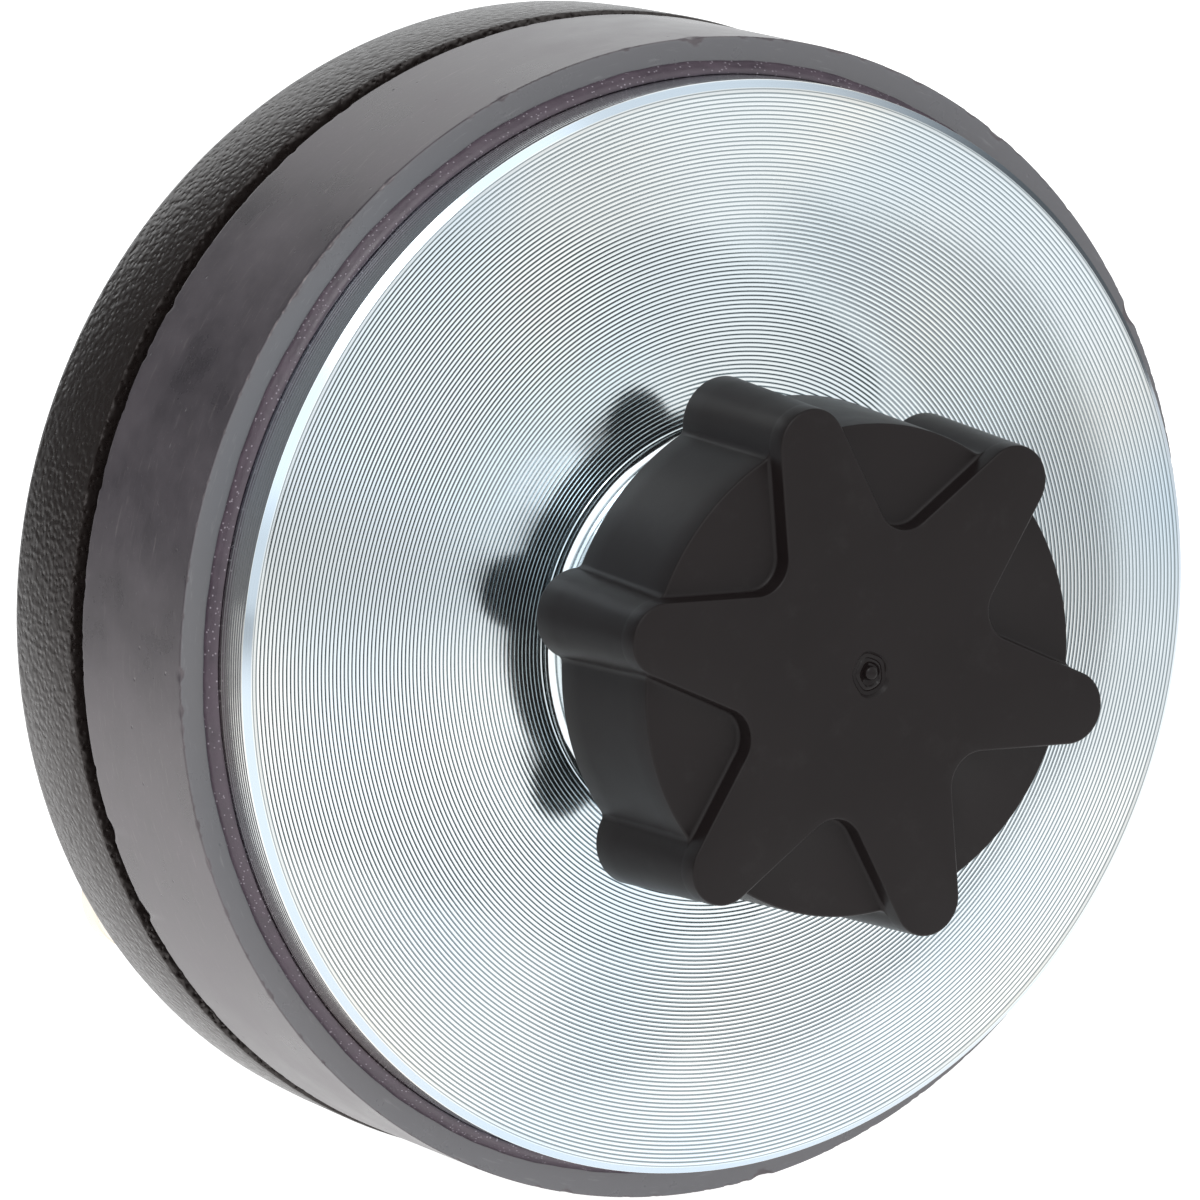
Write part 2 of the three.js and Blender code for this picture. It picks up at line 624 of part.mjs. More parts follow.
// Cap and its liner
part('thread_cap', cap(), capPlastic);
part('cap_liner', disc(LINER_R, CAP_CEILING + GAP, SNOUT_TIP - GAP, FINE), foam);

// Cover
part('rear_cover', cover(), coverPlastic);
part('cover_gasket', tube(...GASKET_R, TOP_PLATE_REAR + GAP, BOSS_FOOT - GAP), rubber);
part('damping_foam', disc(FOAM_R, FOAM_FRONT, DOME_INNER - 0.05, FINE), foam);
SCREW_ANGLES.forEach((angle, k) => {
  part(`cover_screw_${k + 1}`, panScrew(COVER_SCREW), blackSteel,
    spoke(angle, SCREW_CIRCLE_R, HEAD_SEAT + GAP));
});

// Terminals and their leads
for (const [side, angle] of Object.entries(TERMINAL_ANGLES)) {
  const seat = spoke(angle, TERMINAL_CIRCLE_R, SHOULDER);
  const sideColour = side === 'left' ? redPlastic : blackPlastic;
  const studHole = disc(STUD_R + PLAY, STUD_END, 0, TERMINAL_SIDES);
  part(`${side}_terminal_base`, tube(STUD_R + PLAY, BASE_R, GAP, BASE_TOP, TERMINAL_SIDES),
    blackPlastic, seat);
  part(`${side}_terminal_barrel`, terminalBarrel(), nickel, seat);
  part(`${side}_terminal_button`, terminalButton(), sideColour, seat);
  part(`${side}_terminal_spring`, spring(SPRING), steel, seat);
  part(`${side}_terminal_nut`, disc(NUT_R, ...NUT, 6).subtract(studHole), steel, seat);
  part(`${side}_solder_tab`, box(4.4, 0.5, 9, 0, -2.75, -2.4).subtract(studHole), nickel, seat);
  part(`${side}_lead_tab`, box(2.2, 1.6, 0.5, 0, -3.55, -10.2), nickel, seat);
  part(`${side}_lead_wire`, wire(LEAD_ROUTE, LEAD_R), sideColour, seat);
}

export default group;
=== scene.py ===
"""A screw-on compression driver with its thread cap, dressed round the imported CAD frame.

The driver's axis is Y: the cap faces -Y and the rear cover +Y. Outlines are in millimetres, as
[radius, y] points, and meshes are made in metres in the row frame. Angles run from +Z towards -X.
"""
import math
import random

import bmesh
import bpy
from mathutils import Matrix, Vector


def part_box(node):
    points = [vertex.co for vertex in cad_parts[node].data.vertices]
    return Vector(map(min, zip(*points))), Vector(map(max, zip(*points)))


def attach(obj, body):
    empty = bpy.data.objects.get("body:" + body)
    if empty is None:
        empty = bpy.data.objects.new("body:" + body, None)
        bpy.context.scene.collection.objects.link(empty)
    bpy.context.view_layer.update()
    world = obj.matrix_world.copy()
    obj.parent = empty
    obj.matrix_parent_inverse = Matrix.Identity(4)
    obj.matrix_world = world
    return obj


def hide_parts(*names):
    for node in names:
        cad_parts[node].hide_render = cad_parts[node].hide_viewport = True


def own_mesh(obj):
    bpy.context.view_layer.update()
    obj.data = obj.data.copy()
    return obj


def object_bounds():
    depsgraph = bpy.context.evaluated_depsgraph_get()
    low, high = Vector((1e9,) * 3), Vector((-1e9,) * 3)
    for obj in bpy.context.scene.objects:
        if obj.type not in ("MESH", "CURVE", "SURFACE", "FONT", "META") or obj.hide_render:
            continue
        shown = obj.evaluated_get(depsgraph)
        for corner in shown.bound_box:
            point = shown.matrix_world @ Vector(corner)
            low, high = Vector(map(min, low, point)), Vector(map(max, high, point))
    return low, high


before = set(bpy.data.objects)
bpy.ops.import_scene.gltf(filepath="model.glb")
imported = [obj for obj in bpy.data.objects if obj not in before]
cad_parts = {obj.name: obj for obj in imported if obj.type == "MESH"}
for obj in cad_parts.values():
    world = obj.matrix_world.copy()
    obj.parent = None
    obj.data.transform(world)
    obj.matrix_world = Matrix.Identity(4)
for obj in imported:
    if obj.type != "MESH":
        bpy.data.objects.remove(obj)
CAD_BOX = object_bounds()

MM = 0.001
SIDES = 288              # columns of a large turned surface
PLATE_SIDES = 272        # the same for the plate, whose grooves add many rows
INNER_SIDES = 144        # columns of a small turned piece inside the driver
SMALL_SIDES = 48         # columns of a screw, terminal or pin
PITCH = 25.4 / 18        # the 1-3/8 in thread

# ---------------------------------------------------------------- camera, floor and light

VIEW_AZIMUTH = -31.35
VIEW_ELEVATION = 10.668
VIEW_DISTANCE = 0.8523   # along the view, to the origin
VIEW_LENS = 302.3
VIEW_RIGHT = (0.854, -0.52)  # the picture's right on the floor, as x and y
AIM_RIGHT = -0.01085     # what the picture's centre shows, from the origin
AIM_UP = 0.00267


def add_camera():
    azimuth = math.radians(VIEW_AZIMUTH)
    elevation = math.radians(VIEW_ELEVATION)
    back = Vector((
        math.sin(azimuth) * math.cos(elevation),
        -math.cos(azimuth) * math.cos(elevation),
        math.sin(elevation),
    ))
    right = Vector((math.cos(azimuth), math.sin(azimuth), 0))
    up = back.cross(right)
    data = bpy.data.cameras.new("camera")
    data.lens = VIEW_LENS
    camera = bpy.data.objects.new("camera", data)
    camera.location = back * VIEW_DISTANCE + right * AIM_RIGHT + up * AIM_UP
    camera.rotation_euler = Matrix((right, up, back)).transposed().to_euler()
    bpy.context.scene.collection.objects.link(camera)
    bpy.context.scene.camera = camera


def add_light(name, place, size, power):
    """A square softbox that faces the driver."""
    data = bpy.data.lights.new(name, "AREA")
    data.size = size
    data.energy = power
    light = bpy.data.objects.new(name, data)
    light.location = place
    light.rotation_euler = Vector(place).to_track_quat("Z", "Y").to_euler()
    bpy.context.scene.collection.objects.link(light)


# ---------------------------------------------------------------- meshes


def piece(name, points, faces):
    """A mesh object from points in millimetres, with its faces turned outwards."""
    mesh = bpy.data.meshes.new(name)
    mesh.from_pydata([Vector(p) * MM for p in points], [], faces)
    shape = bmesh.new()
    shape.from_mesh(mesh)
    bmesh.ops.remove_doubles(shape, verts=shape.verts, dist=1e-7)
    bmesh.ops.recalc_face_normals(shape, faces=shape.faces)
    shape.to_mesh(mesh)
    shape.free()
    made = bpy.data.objects.new(name, mesh)
    bpy.context.scene.collection.objects.link(made)
    return made


def on_circle(radius, y, angle):
    """The point at an angle in radians, from +Z towards -X."""
    return (-radius * math.sin(angle), y, radius * math.cos(angle))


def turned(name, outline, sides=SIDES, change=None):
    """An outline of [radius, y] points revolved about the driver's axis. It closes on itself, or
    starts and ends on the axis. change(radius, y, angle) may move a point."""
    points = []
    for step in range(sides):
        angle = 2 * math.pi * step / sides
        for radius, y in outline:
            if change and radius:
                radius, y = change(radius, y, angle)
            points.append(on_circle(radius, y, angle))
    count = len(outline)
    on_axis = outline[0][0] == 0 and outline[-1][0] == 0
    faces = []
    for step in range(sides):
        here, there = step * count, (step + 1) % sides * count
        for k in range(count - 1 if on_axis else count):
            after = (k + 1) % count
            faces.append((here + k, there + k, there + after, here + after))
    return piece(name, points, faces)


def band(inner, outer, low, high):
    """The outline of a plain ring."""
    return [(inner, low), (outer, low), (outer, high), (inner, high)]


def tube_faces(steps, sides, first=0):
    """The sides and both ends of a tube whose points come ring by ring, from one point on."""
    faces = [
        (first + k * sides + j, first + k * sides + (j + 1) % sides,
         first + (k + 1) * sides + (j + 1) % sides, first + (k + 1) * sides + j)
        for k in range(steps) for j in range(sides)
    ]
    ends = (first, first + steps * sides)
    return faces + [tuple(range(end, end + sides)) for end in ends]


def bar(name, turn, *levels):
    """A four-sided bar across the axis, from its [y, half length, half width] at two levels."""
    corners = [
        (x * math.cos(turn) - z * math.sin(turn), y, x * math.sin(turn) + z * math.cos(turn))
        for y, reach, half in levels
        for x, z in ((-half, -reach), (half, -reach), (half, reach), (-half, reach))
    ]
    return piece(name, corners, tube_faces(1, 4))


def arc(centre, radius, start, end, steps):
    """Points of an arc in an outline, between two angles in degrees from the radius direction."""
    points = []
    for k in range(steps + 1):
        turn = math.radians(start + (end - start) * k / steps)
        points.append((centre[0] + radius * math.cos(turn), centre[1] + radius * math.sin(turn)))
    return points


def rounded(outline, radius, steps=3):
    """The outline with each corner off the axis rounded, or cut back where its sides are short."""
    points = []
    count = len(outline)
    for k, corner in enumerate(outline):
        if corner[0] == 0:
            points.append(corner)
            continue
        at = Vector(corner)
        before = Vector(outline[k - 1]) - at
        after = Vector(outline[(k + 1) % count]) - at
        reach = min(radius, 0.45 * before.length, 0.45 * after.length)
        start, end = at + before.normalized() * reach, at + after.normalized() * reach
        for j in range(steps + 1):
            share = j / steps
            points.append(tuple(
                start * (1 - share) ** 2 + at * 2 * share * (1 - share) + end * share ** 2
            ))
    return points


def combine(target, tool, operation="DIFFERENCE"):
    """Cuts, joins or keeps what two closed meshes share, and removes the tool."""
    modifier = target.modifiers.new("combine", "BOOLEAN")
    modifier.operation = operation
    modifier.solver = "MANIFOLD"
    modifier.object = tool
    graph = bpy.context.evaluated_depsgraph_get()
    made = bpy.data.meshes.new_from_object(target.evaluated_get(graph))
    target.modifiers.clear()
    target.data = made
    bpy.data.objects.remove(tool)
    return target


def placed(made, angle, radius, y=0):
    """Moves a mesh made on the axis out to a place on a circle about it."""
    turn = Matrix.Rotation(-math.radians(angle), 4, "Y")
    made.data.transform(turn @ Matrix.Translation((0, y * MM, radius * MM)))
    return made


def settle(made, material, body, slot, *nodes, sharp=30):
    """Shades a finished mesh and says what it is made of, rides on and stands for."""
    made.data.shade_smooth()
    made.data.set_sharp_from_angle(angle=math.radians(sharp))
    made.data.materials.clear()
    made.data.materials.append(material)
    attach(made, body)
    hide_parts(*nodes)
    return made


def span(node):
    """The lowest and highest y of a node, in millimetres."""
    low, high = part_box(node)
    return low.y / MM, high.y / MM


def radius_of(node):
    """The outer radius of a node turned about the driver's axis, in millimetres."""
    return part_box(node)[1].z / MM


# ---------------------------------------------------------------- procedural materials

GROOVES_FROM = 18.55     # radius of the innermost turning mark on the plate's face
GROOVES_TO = 46.25       # the chamfer starts here
GROOVE_PITCH = 0.365     # feed of the turning tool
GROOVE_DEPTH = 0.056
GROOVE_SKEW = -1.2       # how far the painted groove shade is shifted, in radians of one groove
GATE_R = 1.9             # gate mark in the middle of the cap's face


class Finish:
    """A material on one Principled shader, with its noise and colour nodes. Lengths are in
    millimetres in the row frame."""

    def __init__(self, name, **values):
        self.material = bpy.data.materials.new(name)
        self.material.use_nodes = True
        self.tree = self.material.node_tree
        self.shader = self.tree.nodes["Principled BSDF"]
        for socket, value in values.items():
            self.shader.inputs[socket.replace("_", " ").title().replace("Ior", "IOR")] \
                .default_value = value
        self.place = self.tree.nodes.new("ShaderNodeTexCoord").outputs["Object"]
        self.normal = None

    def node(self, kind, inputs, output=0, **settings):
        made = self.tree.nodes.new(kind)
        for name, value in settings.items():
            setattr(made, name, value)
        for name, value in inputs.items():
            if isinstance(value, bpy.types.NodeSocket):
                self.tree.links.new(value, made.inputs[name])
            else:
                made.inputs[name].default_value = value
        return made.outputs[output]

    def math(self, operation, first, second=0.0):
        return self.node("ShaderNodeMath", {0: first, 1: second}, operation=operation)

    def apart(self):
        """The x, y and z of the point."""
        split = self.node("ShaderNodeSeparateXYZ", {0: self.place}).node
        return split.outputs

    def radius(self):
        """Distance from the driver's axis, in metres."""
        flat = self.node(
            "ShaderNodeVectorMath", {0: self.place, 1: (1, 0, 1)}, operation="MULTIPLY")
        return self.node("ShaderNodeVectorMath", {0: flat}, "Value", operation="LENGTH")

    def round_place(self, across, along):
        """A place whose noise is fine across the turning lines and long along them."""
        x, y, z = self.apart()
        radius = self.radius()
        turn_x = self.math("DIVIDE", x, radius)
        turn_z = self.math("DIVIDE", z, radius)
        depth = self.math("ADD", radius, y)
        place = self.node("ShaderNodeCombineXYZ", {0: turn_x, 1: depth, 2: turn_z})
        return self.node(
            "ShaderNodeVectorMath", {0: place, 1: (1 / along, 1 / (across * MM), 1 / along)},
            operation="MULTIPLY")

    def noise(self, size, detail=3.0, roughness=0.6, place=None):
        """Noise with features of a size in millimetres, or on a place that is already scaled."""
        return self.node("ShaderNodeTexNoise", {
            "Vector": place or self.place,
            "Scale": 1 if place else 1 / (size * MM),
            "Detail": detail,
            "Roughness": roughness,
        })

    def cells(self, size, feature="F1"):
        """The distance to cells of a size in millimetres."""
        return self.node("ShaderNodeTexVoronoi", {
            "Vector": self.place, "Scale": 1 / (size * MM)}, "Distance", feature=feature)

    def spread(self, value, low, high, to_low=0.0, to_high=1.0):
        """The value moved from one range to another, and held inside it."""
        return self.node("ShaderNodeMapRange", {
            "Value": value, "From Min": low, "From Max": high, "To Min": to_low, "To Max": to_high,
        })

    def within(self, value, start, full, fading, end):
        """1 between two lengths in millimetres and 0 outside them, with soft edges."""
        rising = self.spread(value, start * MM, full * MM)
        return self.math("MULTIPLY", rising, self.spread(value, fading * MM, end * MM, 1, 0))

    def mix(self, share, first, second):
        """A colour between two, each a colour or a socket."""
        made = self.tree.nodes.new("ShaderNodeMix")
        made.data_type = "RGBA"
        ends = {"A": first, "B": second}
        for socket in made.inputs:
            if socket.type == "RGBA" and socket.name in ends:
                value = ends[socket.name]
                if isinstance(value, bpy.types.NodeSocket):
                    self.tree.links.new(value, socket)
                else:
                    socket.default_value = (*value, 1)
        self.tree.links.new(share, made.inputs["Factor"])
        return next(o for o in made.outputs if o.type == "RGBA")

    def drive(self, socket, value):
        self.tree.links.new(value, self.shader.inputs[socket])

    def bump(self, height, depth):
        """Adds relief of a depth in millimetres."""
        inputs = {"Height": height, "Distance": depth * MM, "Strength": 1.0}
        if self.normal:
            inputs["Normal"] = self.normal
        self.normal = self.node("ShaderNodeBump", inputs)
        self.drive("Normal", self.normal)


def zinc_steel():
    """Turned steel under bright zinc: silver-blue with warm patches and fine turning lines, with
    painted shade in the deepest part of each groove of the plate's face."""
    finish = Finish("zinc_steel", metallic=1.0)
    stain = finish.spread(finish.noise(40, 1), 0.40, 0.68)
    colour = finish.mix(stain, (0.79, 0.86, 0.90), (0.89, 0.86, 0.79))
    blue = finish.spread(finish.noise(31, 1), 0.48, 0.75)
    colour = finish.mix(blue, colour, (0.65, 0.77, 0.86))
    lines = finish.noise(1, 4, 0.7, finish.round_place(0.11, 0.7))
    colour = finish.mix(finish.spread(lines, 0.3, 0.75, 0, 0.35), colour, (0.55, 0.60, 0.64))
    radius = finish.radius()
    # Painted shade: the deepest part of each turned groove on the plate's face is darkened in the
    # colour, over the real groove relief.
    phase = finish.math("MULTIPLY", finish.math("SUBTRACT", radius, GROOVES_FROM * MM),
                        2 * math.pi / (GROOVE_PITCH * MM))
    painted_groove_shade = finish.spread(finish.math("COSINE", finish.math("ADD", phase, GROOVE_SKEW)), 0.1, -0.8)
    on_face = finish.within(radius, GROOVES_FROM - 0.1, GROOVES_FROM, GROOVES_TO - 0.1, GROOVES_TO)
    painted_groove_shade = finish.math("MULTIPLY", painted_groove_shade, finish.math("MULTIPLY", on_face, 0.8))
    colour = finish.mix(painted_groove_shade, colour, (0.12, 0.16, 0.18))
    on_chamfer = finish.within(
        radius, GROOVES_TO, GROOVES_TO + 0.05, GROOVES_TO + 0.57, GROOVES_TO + 0.61)
    colour = finish.mix(
        finish.math("MULTIPLY", on_chamfer, 0.75), colour, (0.46, 0.56, 0.66))
    finish.drive("Base Color", colour)
    finish.drive("Roughness", finish.spread(lines, 0.25, 0.8, 0.08, 0.20))
    finish.bump(lines, 0.0015)
    return finish.material


def plain_steel():
    finish = Finish("plain_steel", metallic=1.0)
    lines = finish.noise(1, 4, 0.7, finish.round_place(0.2, 0.5))
    cloud = finish.noise(6, 4)
    finish.drive("Base Color", finish.mix(cloud, (0.46, 0.47, 0.49), (0.66, 0.67, 0.68)))
    finish.drive("Roughness", finish.spread(lines, 0.2, 0.8, 0.25, 0.5))
    finish.bump(lines, 0.006)
    return finish.material


def ferrite():
    """Ground ceramic magnet: dark grey with a violet cast, faint mottling, specks and pits."""
    # The warm specular tint is painted light: it stands in for the warm colour of the light from the
    # back right.
    finish = Finish("ferrite", specular_ior_level=0.66, specular_tint=(1, 0.90, 0.87, 1))
    cloud = finish.noise(9, 5, 0.65)
    speck = finish.spread(finish.noise(0.25, 2, 0.8), 0.66, 0.78, 0, 0.4)
    scratch = finish.spread(finish.noise(1, 3, 0.7, finish.round_place(0.35, 0.06)), 0.6, 0.8)
    colour = finish.mix(
        finish.spread(cloud, 0.3, 0.7), (0.036, 0.032, 0.038), (0.084, 0.074, 0.084))
    colour = finish.mix(finish.spread(scratch, 0, 1, 0, 0.5), colour, (0.19, 0.17, 0.17))
    colour = finish.mix(speck, colour, (0.26, 0.25, 0.26))
    front = span("magnet_ring")[0] * MM
    ground = finish.spread(finish.apart()[1], front + 0.00004, front)
    colour = finish.mix(ground, colour, finish.mix(scratch, (0.105, 0.108, 0.118), (0.17, 0.17, 0.18)))
    finish.drive("Base Color", colour)
    finish.drive("Roughness", finish.spread(cloud, 0.3, 0.7, 0.25, 0.36))
    pits = finish.spread(finish.cells(2.6), 0.0, 0.07)
    finish.bump(pits, 0.05)
    finish.bump(finish.noise(0.4, 4, 0.7), 0.004)
    return finish.material


def adhesive():
    """Cured violet-black glue, full of fine bubbles that catch the light."""
    finish = Finish("adhesive", specular_ior_level=0.6)
    cloud = finish.noise(2.2, 4)
    bubble = finish.cells(0.42)
    glint = finish.spread(bubble, 0.12, 0.24, 0.5, 0)
    colour = finish.mix(cloud, (0.026, 0.018, 0.026), (0.080, 0.054, 0.074))
    finish.drive("Base Color", finish.mix(glint, colour, (0.42, 0.37, 0.42)))
    finish.drive("Roughness", finish.spread(cloud, 0.3, 0.7, 0.28, 0.5))
    finish.bump(finish.spread(bubble, 0, 0.24), 0.05)
    finish.bump(finish.noise(0.9, 3), 0.06)
    return finish.material


def cap_plastic():
    """Smooth moulded black plastic with a faint texture, rubbed places and a glossier gate mark."""
    finish = Finish("cap_plastic", specular_ior_level=0.18)
    cloud = finish.noise(12, 4)
    fine = finish.noise(0.12, 3, 0.7)
    rub = finish.spread(finish.noise(3.5, 6, 0.75), 0.56, 0.8, 0, 0.5)
    colour = finish.mix(cloud, (0.0070, 0.0050, 0.0050), (0.0100, 0.0072, 0.0074))
    finish.drive("Base Color", finish.mix(rub, colour, (0.018, 0.016, 0.016)))
    gate = finish.spread(finish.radius(), (GATE_R - 0.3) * MM, (GATE_R - 0.1) * MM, 0.35, 1)
    rough = finish.spread(cloud, 0.3, 0.7, 0.32, 0.44)
    finish.drive("Roughness", finish.math("MULTIPLY", rough, gate))
    finish.bump(fine, 0.006)
    finish.bump(cloud, 0.05)
    return finish.material


def cover_plastic():
    """Black moulded plastic with a leather grain."""
    # The warm specular tint is painted light: it stands in for the warm colour of the light from the
    # back right.
    finish = Finish("cover_plastic", specular_ior_level=0.6, specular_tint=(1, 0.93, 0.91, 1))
    wander = finish.node("ShaderNodeVectorMath", {
        0: finish.node("ShaderNodeTexNoise", {"Vector": finish.place, "Scale": 700}, "Color"),
        1: (0.0006, 0.0006, 0.0006),
    }, operation="MULTIPLY")
    bent = finish.node("ShaderNodeVectorMath", {0: finish.place, 1: wander}, operation="ADD")
    grain = finish.node(
        "ShaderNodeTexVoronoi", {"Vector": bent, "Scale": 1900}, feature="SMOOTH_F1")
    fine = finish.noise(0.25, 3, 0.7)
    dust = finish.spread(finish.noise(0.5, 2, 0.9), 0.70, 0.80, 0, 0.35)
    cloud = finish.noise(14, 3)
    colour = finish.mix(cloud, (0.0080, 0.0058, 0.0052), (0.0130, 0.0096, 0.0088))
    finish.drive("Base Color", finish.mix(dust, colour, (0.22, 0.21, 0.21)))
    finish.drive("Roughness", finish.spread(grain, 0.1, 0.7, 0.23, 0.35))
    finish.bump(grain, 0.11)
    finish.bump(fine, 0.02)
    return finish.material


def clouded(name, low, high, size, roughness, grain, relief, **values):
    """A plain material with soft clouds in its colour and gloss, and a fine relief. size and grain
    are in millimetres, and roughness is a range."""
    finish = Finish(name, **values)
    cloud = finish.noise(size, 4)
    finish.drive("Base Color", finish.mix(cloud, low, high))
    finish.drive("Roughness", finish.spread(cloud, 0.3, 0.7, *roughness))
    finish.bump(finish.noise(*grain), relief)
    return finish.material


def satin_plastic(name, low, high, roughness):
    """Plain moulded plastic with faint flow clouds."""
    return clouded(name, low, high, 4, (roughness - 0.07, roughness + 0.07), (0.2, 3), 0.006)


def foam():
    """Open-cell foam: pores darkened with painted shade, between paler struts."""
    finish = Finish("foam", roughness=1.0, specular_ior_level=0.1, sheen_weight=0.25)
    pores = finish.cells(0.55, "DISTANCE_TO_EDGE")
    cloud = finish.noise(5, 3)
    strut = finish.mix(cloud, (0.035, 0.035, 0.037), (0.065, 0.064, 0.066))
    # Painted shade: the middle of each pore is darkened in the colour, as shade inside the cell.
    finish.drive("Base Color", finish.mix(
        finish.spread(pores, 0.02, 0.16), strut, (0.008, 0.008, 0.008)))
    finish.bump(finish.spread(pores, 0.0, 0.25, 1, 0), 0.3)
    return finish.material


def rubber():
    return clouded(
        "rubber", (0.012, 0.012, 0.012), (0.03, 0.03, 0.03), 0.3, (0.6, 0.85), (0.3, 4), 0.02)


def polyimide():
    """Amber film."""
    return clouded(
        "film", (0.42, 0.17, 0.025), (0.60, 0.28, 0.05), 3, (0.22, 0.4), (0.8, 3), 0.01,
        coat_weight=0.3)


def sheet_metal(name, low, high, roughness):
    """Formed or plated metal with a soft haze and handling marks."""
    finish = Finish(name, metallic=1.0)
    haze = finish.noise(5, 5, 0.65)
    mark = finish.spread(finish.noise(0.6, 5, 0.8), 0.6, 0.85, 0, 0.2)
    finish.drive("Base Color", finish.mix(haze, low, high))
    rough = finish.spread(haze, 0.3, 0.7, roughness - 0.06, roughness + 0.06)
    finish.drive("Roughness", finish.math("ADD", rough, mark))
    finish.bump(finish.noise(0.5, 4), 0.004)
    return finish.material


def glowing_floor(bright, dim):
    """A pale floor that glows with painted light, in place of a light from below. Its pool of glow
    runs back under the driver, and fades to the left and to the front right."""
    finish = Finish("studio_floor", roughness=0.9, specular_ior_level=0.0)
    cloud = finish.noise(60, 3)
    finish.drive("Base Color", finish.mix(cloud, (0.43, 0.43, 0.43), (0.45, 0.45, 0.45)))
    # Painted light: the floor's own emission makes it glow, though it is no lamp.
    finish.shader.inputs["Emission Color"].default_value = (1, 1, 1, 1)
    x, y, _ = finish.apart()
    across = finish.math("ADD", finish.math("MULTIPLY", x, VIEW_RIGHT[0]),
                         finish.math("MULTIPLY", y, VIEW_RIGHT[1]))
    left = finish.spread(across, -0.30, -0.14, dim / bright, 1)
    right = finish.spread(across, 0.06, 0.26, bright, bright * 0.52)
    finish.drive("Emission Strength", finish.math("MULTIPLY", left, right))
    return finish.material


# ---------------------------------------------------------------- motor

PLATE_EDGE = 0.65        # chamfer of the back plate's front edge
PLATE_BORE_R = 16.05     # hole that the snout is pressed into
FOOT_R = 18.4            # recess for the snout's foot
FOOT_RECESS = 0.6
SNOUT_SEAT = 4.98        # floor of the snout's hole
POLE_R = 21.45
POLE_BORE_R = (13.5, 17.6)  # front and rear of the pole's tapered bore
POLE_CUP_R = 20          # wider end of the bore, round the phase plug
POLE_CUP_FLOOR = 23
BEAD_T = 0.34            # adhesive between plate and magnet
MAGNET_BORE_R = 30
AIR_GAP_R = 22.75        # hole in the top plate
RING_BORE_R = 26.8       # hole in the diaphragm's two rings


def scallops(start, count, place, depth=GROOVE_DEPTH):
    """Turning marks from a distance on: a hollow of one feed each, steep on its far side, with a
    crest between two. place(distance, sunk) gives the outline's point."""
    profile = ((0, 0), (0.38, 0.66), (0.66, 1), (0.85, 0.70))
    return [
        place(start + GROOVE_PITCH * (k + share), depth * sunk)
        for k in range(count) for share, sunk in profile
    ]


def back_plate(material):
    """The turned plate and its pole. Its front face and its edge keep the tool's marks."""
    front, pole_rear = span("back_plate")
    plate_r = radius_of("back_plate")
    plate_rear = span("front_adhesive")[1] - BEAD_T
    bore_front, bore_rear = POLE_BORE_R
    face_grooves = int((plate_r - PLATE_EDGE - GROOVES_FROM) / GROOVE_PITCH)
    edge_grooves = int((plate_rear - front - PLATE_EDGE - 0.1) / GROOVE_PITCH)
    outline = [
        (PLATE_BORE_R, front + FOOT_RECESS), (FOOT_R, front + FOOT_RECESS), (FOOT_R, front + 0.05),
        *scallops(GROOVES_FROM, face_grooves, lambda r, sunk: (r, front + sunk)),
        (plate_r - PLATE_EDGE, front + 0.02),
        (plate_r - 0.03, front + PLATE_EDGE - 0.05),
        *scallops(front + PLATE_EDGE + 0.05, edge_grooves,
                  lambda y, sunk: (plate_r - sunk, y), depth=0.016),
        (plate_r - 0.02, plate_rear), (POLE_R, plate_rear), (POLE_R, pole_rear),
        (POLE_CUP_R, pole_rear), (POLE_CUP_R, POLE_CUP_FLOOR), (bore_rear, POLE_CUP_FLOOR),
        (bore_front, SNOUT_SEAT), (PLATE_BORE_R, SNOUT_SEAT),
    ]
    made = turned("turned_back_plate", outline, sides=PLATE_SIDES)
    settle(made, material, "driver", "zinc_steel", "back_plate", sharp=12)


THREAD_R = 17.42
THREAD_DEPTH = 0.764
THREAD_TURN = 96         # columns in one turn of a thread
THREAD_SIDES = 192       # columns of the blanks that a thread is cut in
SCREEN_RING_W = 0.8      # width of the ring that holds the throat screen


def screw(name, root_r, crest_r, crest_width, root_width, low, high):
    """A right-hand screw about the axis, longer than asked for, so that its ends are cut off."""
    flank = (PITCH - crest_width - root_width) / 2
    tooth = [
        (-crest_width / 2 - flank, root_r), (-crest_width / 2 - flank * 0.12, crest_r - 0.05),
        (-crest_width / 2 + 0.02, crest_r), (crest_width / 2 - 0.02, crest_r),
        (crest_width / 2 + flank * 0.12, crest_r - 0.05), (crest_width / 2 + flank, root_r),
    ]
    rows = [
        (turn * PITCH + offset, radius)
        for turn in range(math.floor(low / PITCH) - 2, math.ceil(high / PITCH) + 2)
        for offset, radius in tooth
    ]
    points = []
    for step in range(THREAD_TURN):
        share = step / THREAD_TURN
        angle = -2 * math.pi * share
        points += [on_circle(radius, y + share * PITCH, angle) for y, radius in rows]
    top = len(rows) - 1 - len(tooth)

    def vertex(step, row):
        return step * len(rows) + row if step < THREAD_TURN else row + len(tooth)

    faces = []
    for step in range(THREAD_TURN):
        for row in range(top):
            faces.append((
                vertex(step, row), vertex(step + 1, row),
                vertex(step + 1, row + 1), vertex(step, row + 1),
            ))
    foot, head = len(points), len(points) + 1
    points += [(0, rows[0][0], 0), (0, rows[-1][0], 0)]
    for step in range(THREAD_TURN):
        faces.append((vertex(step + 1, 0), vertex(step, 0), foot))
        faces.append((vertex(step, top), vertex(step + 1, top), head))
    for row in range(len(tooth)):
        faces.append((row, row + 1, foot))
        faces.append((top + row + 1, top + row, head))
    return piece(name, points, faces)


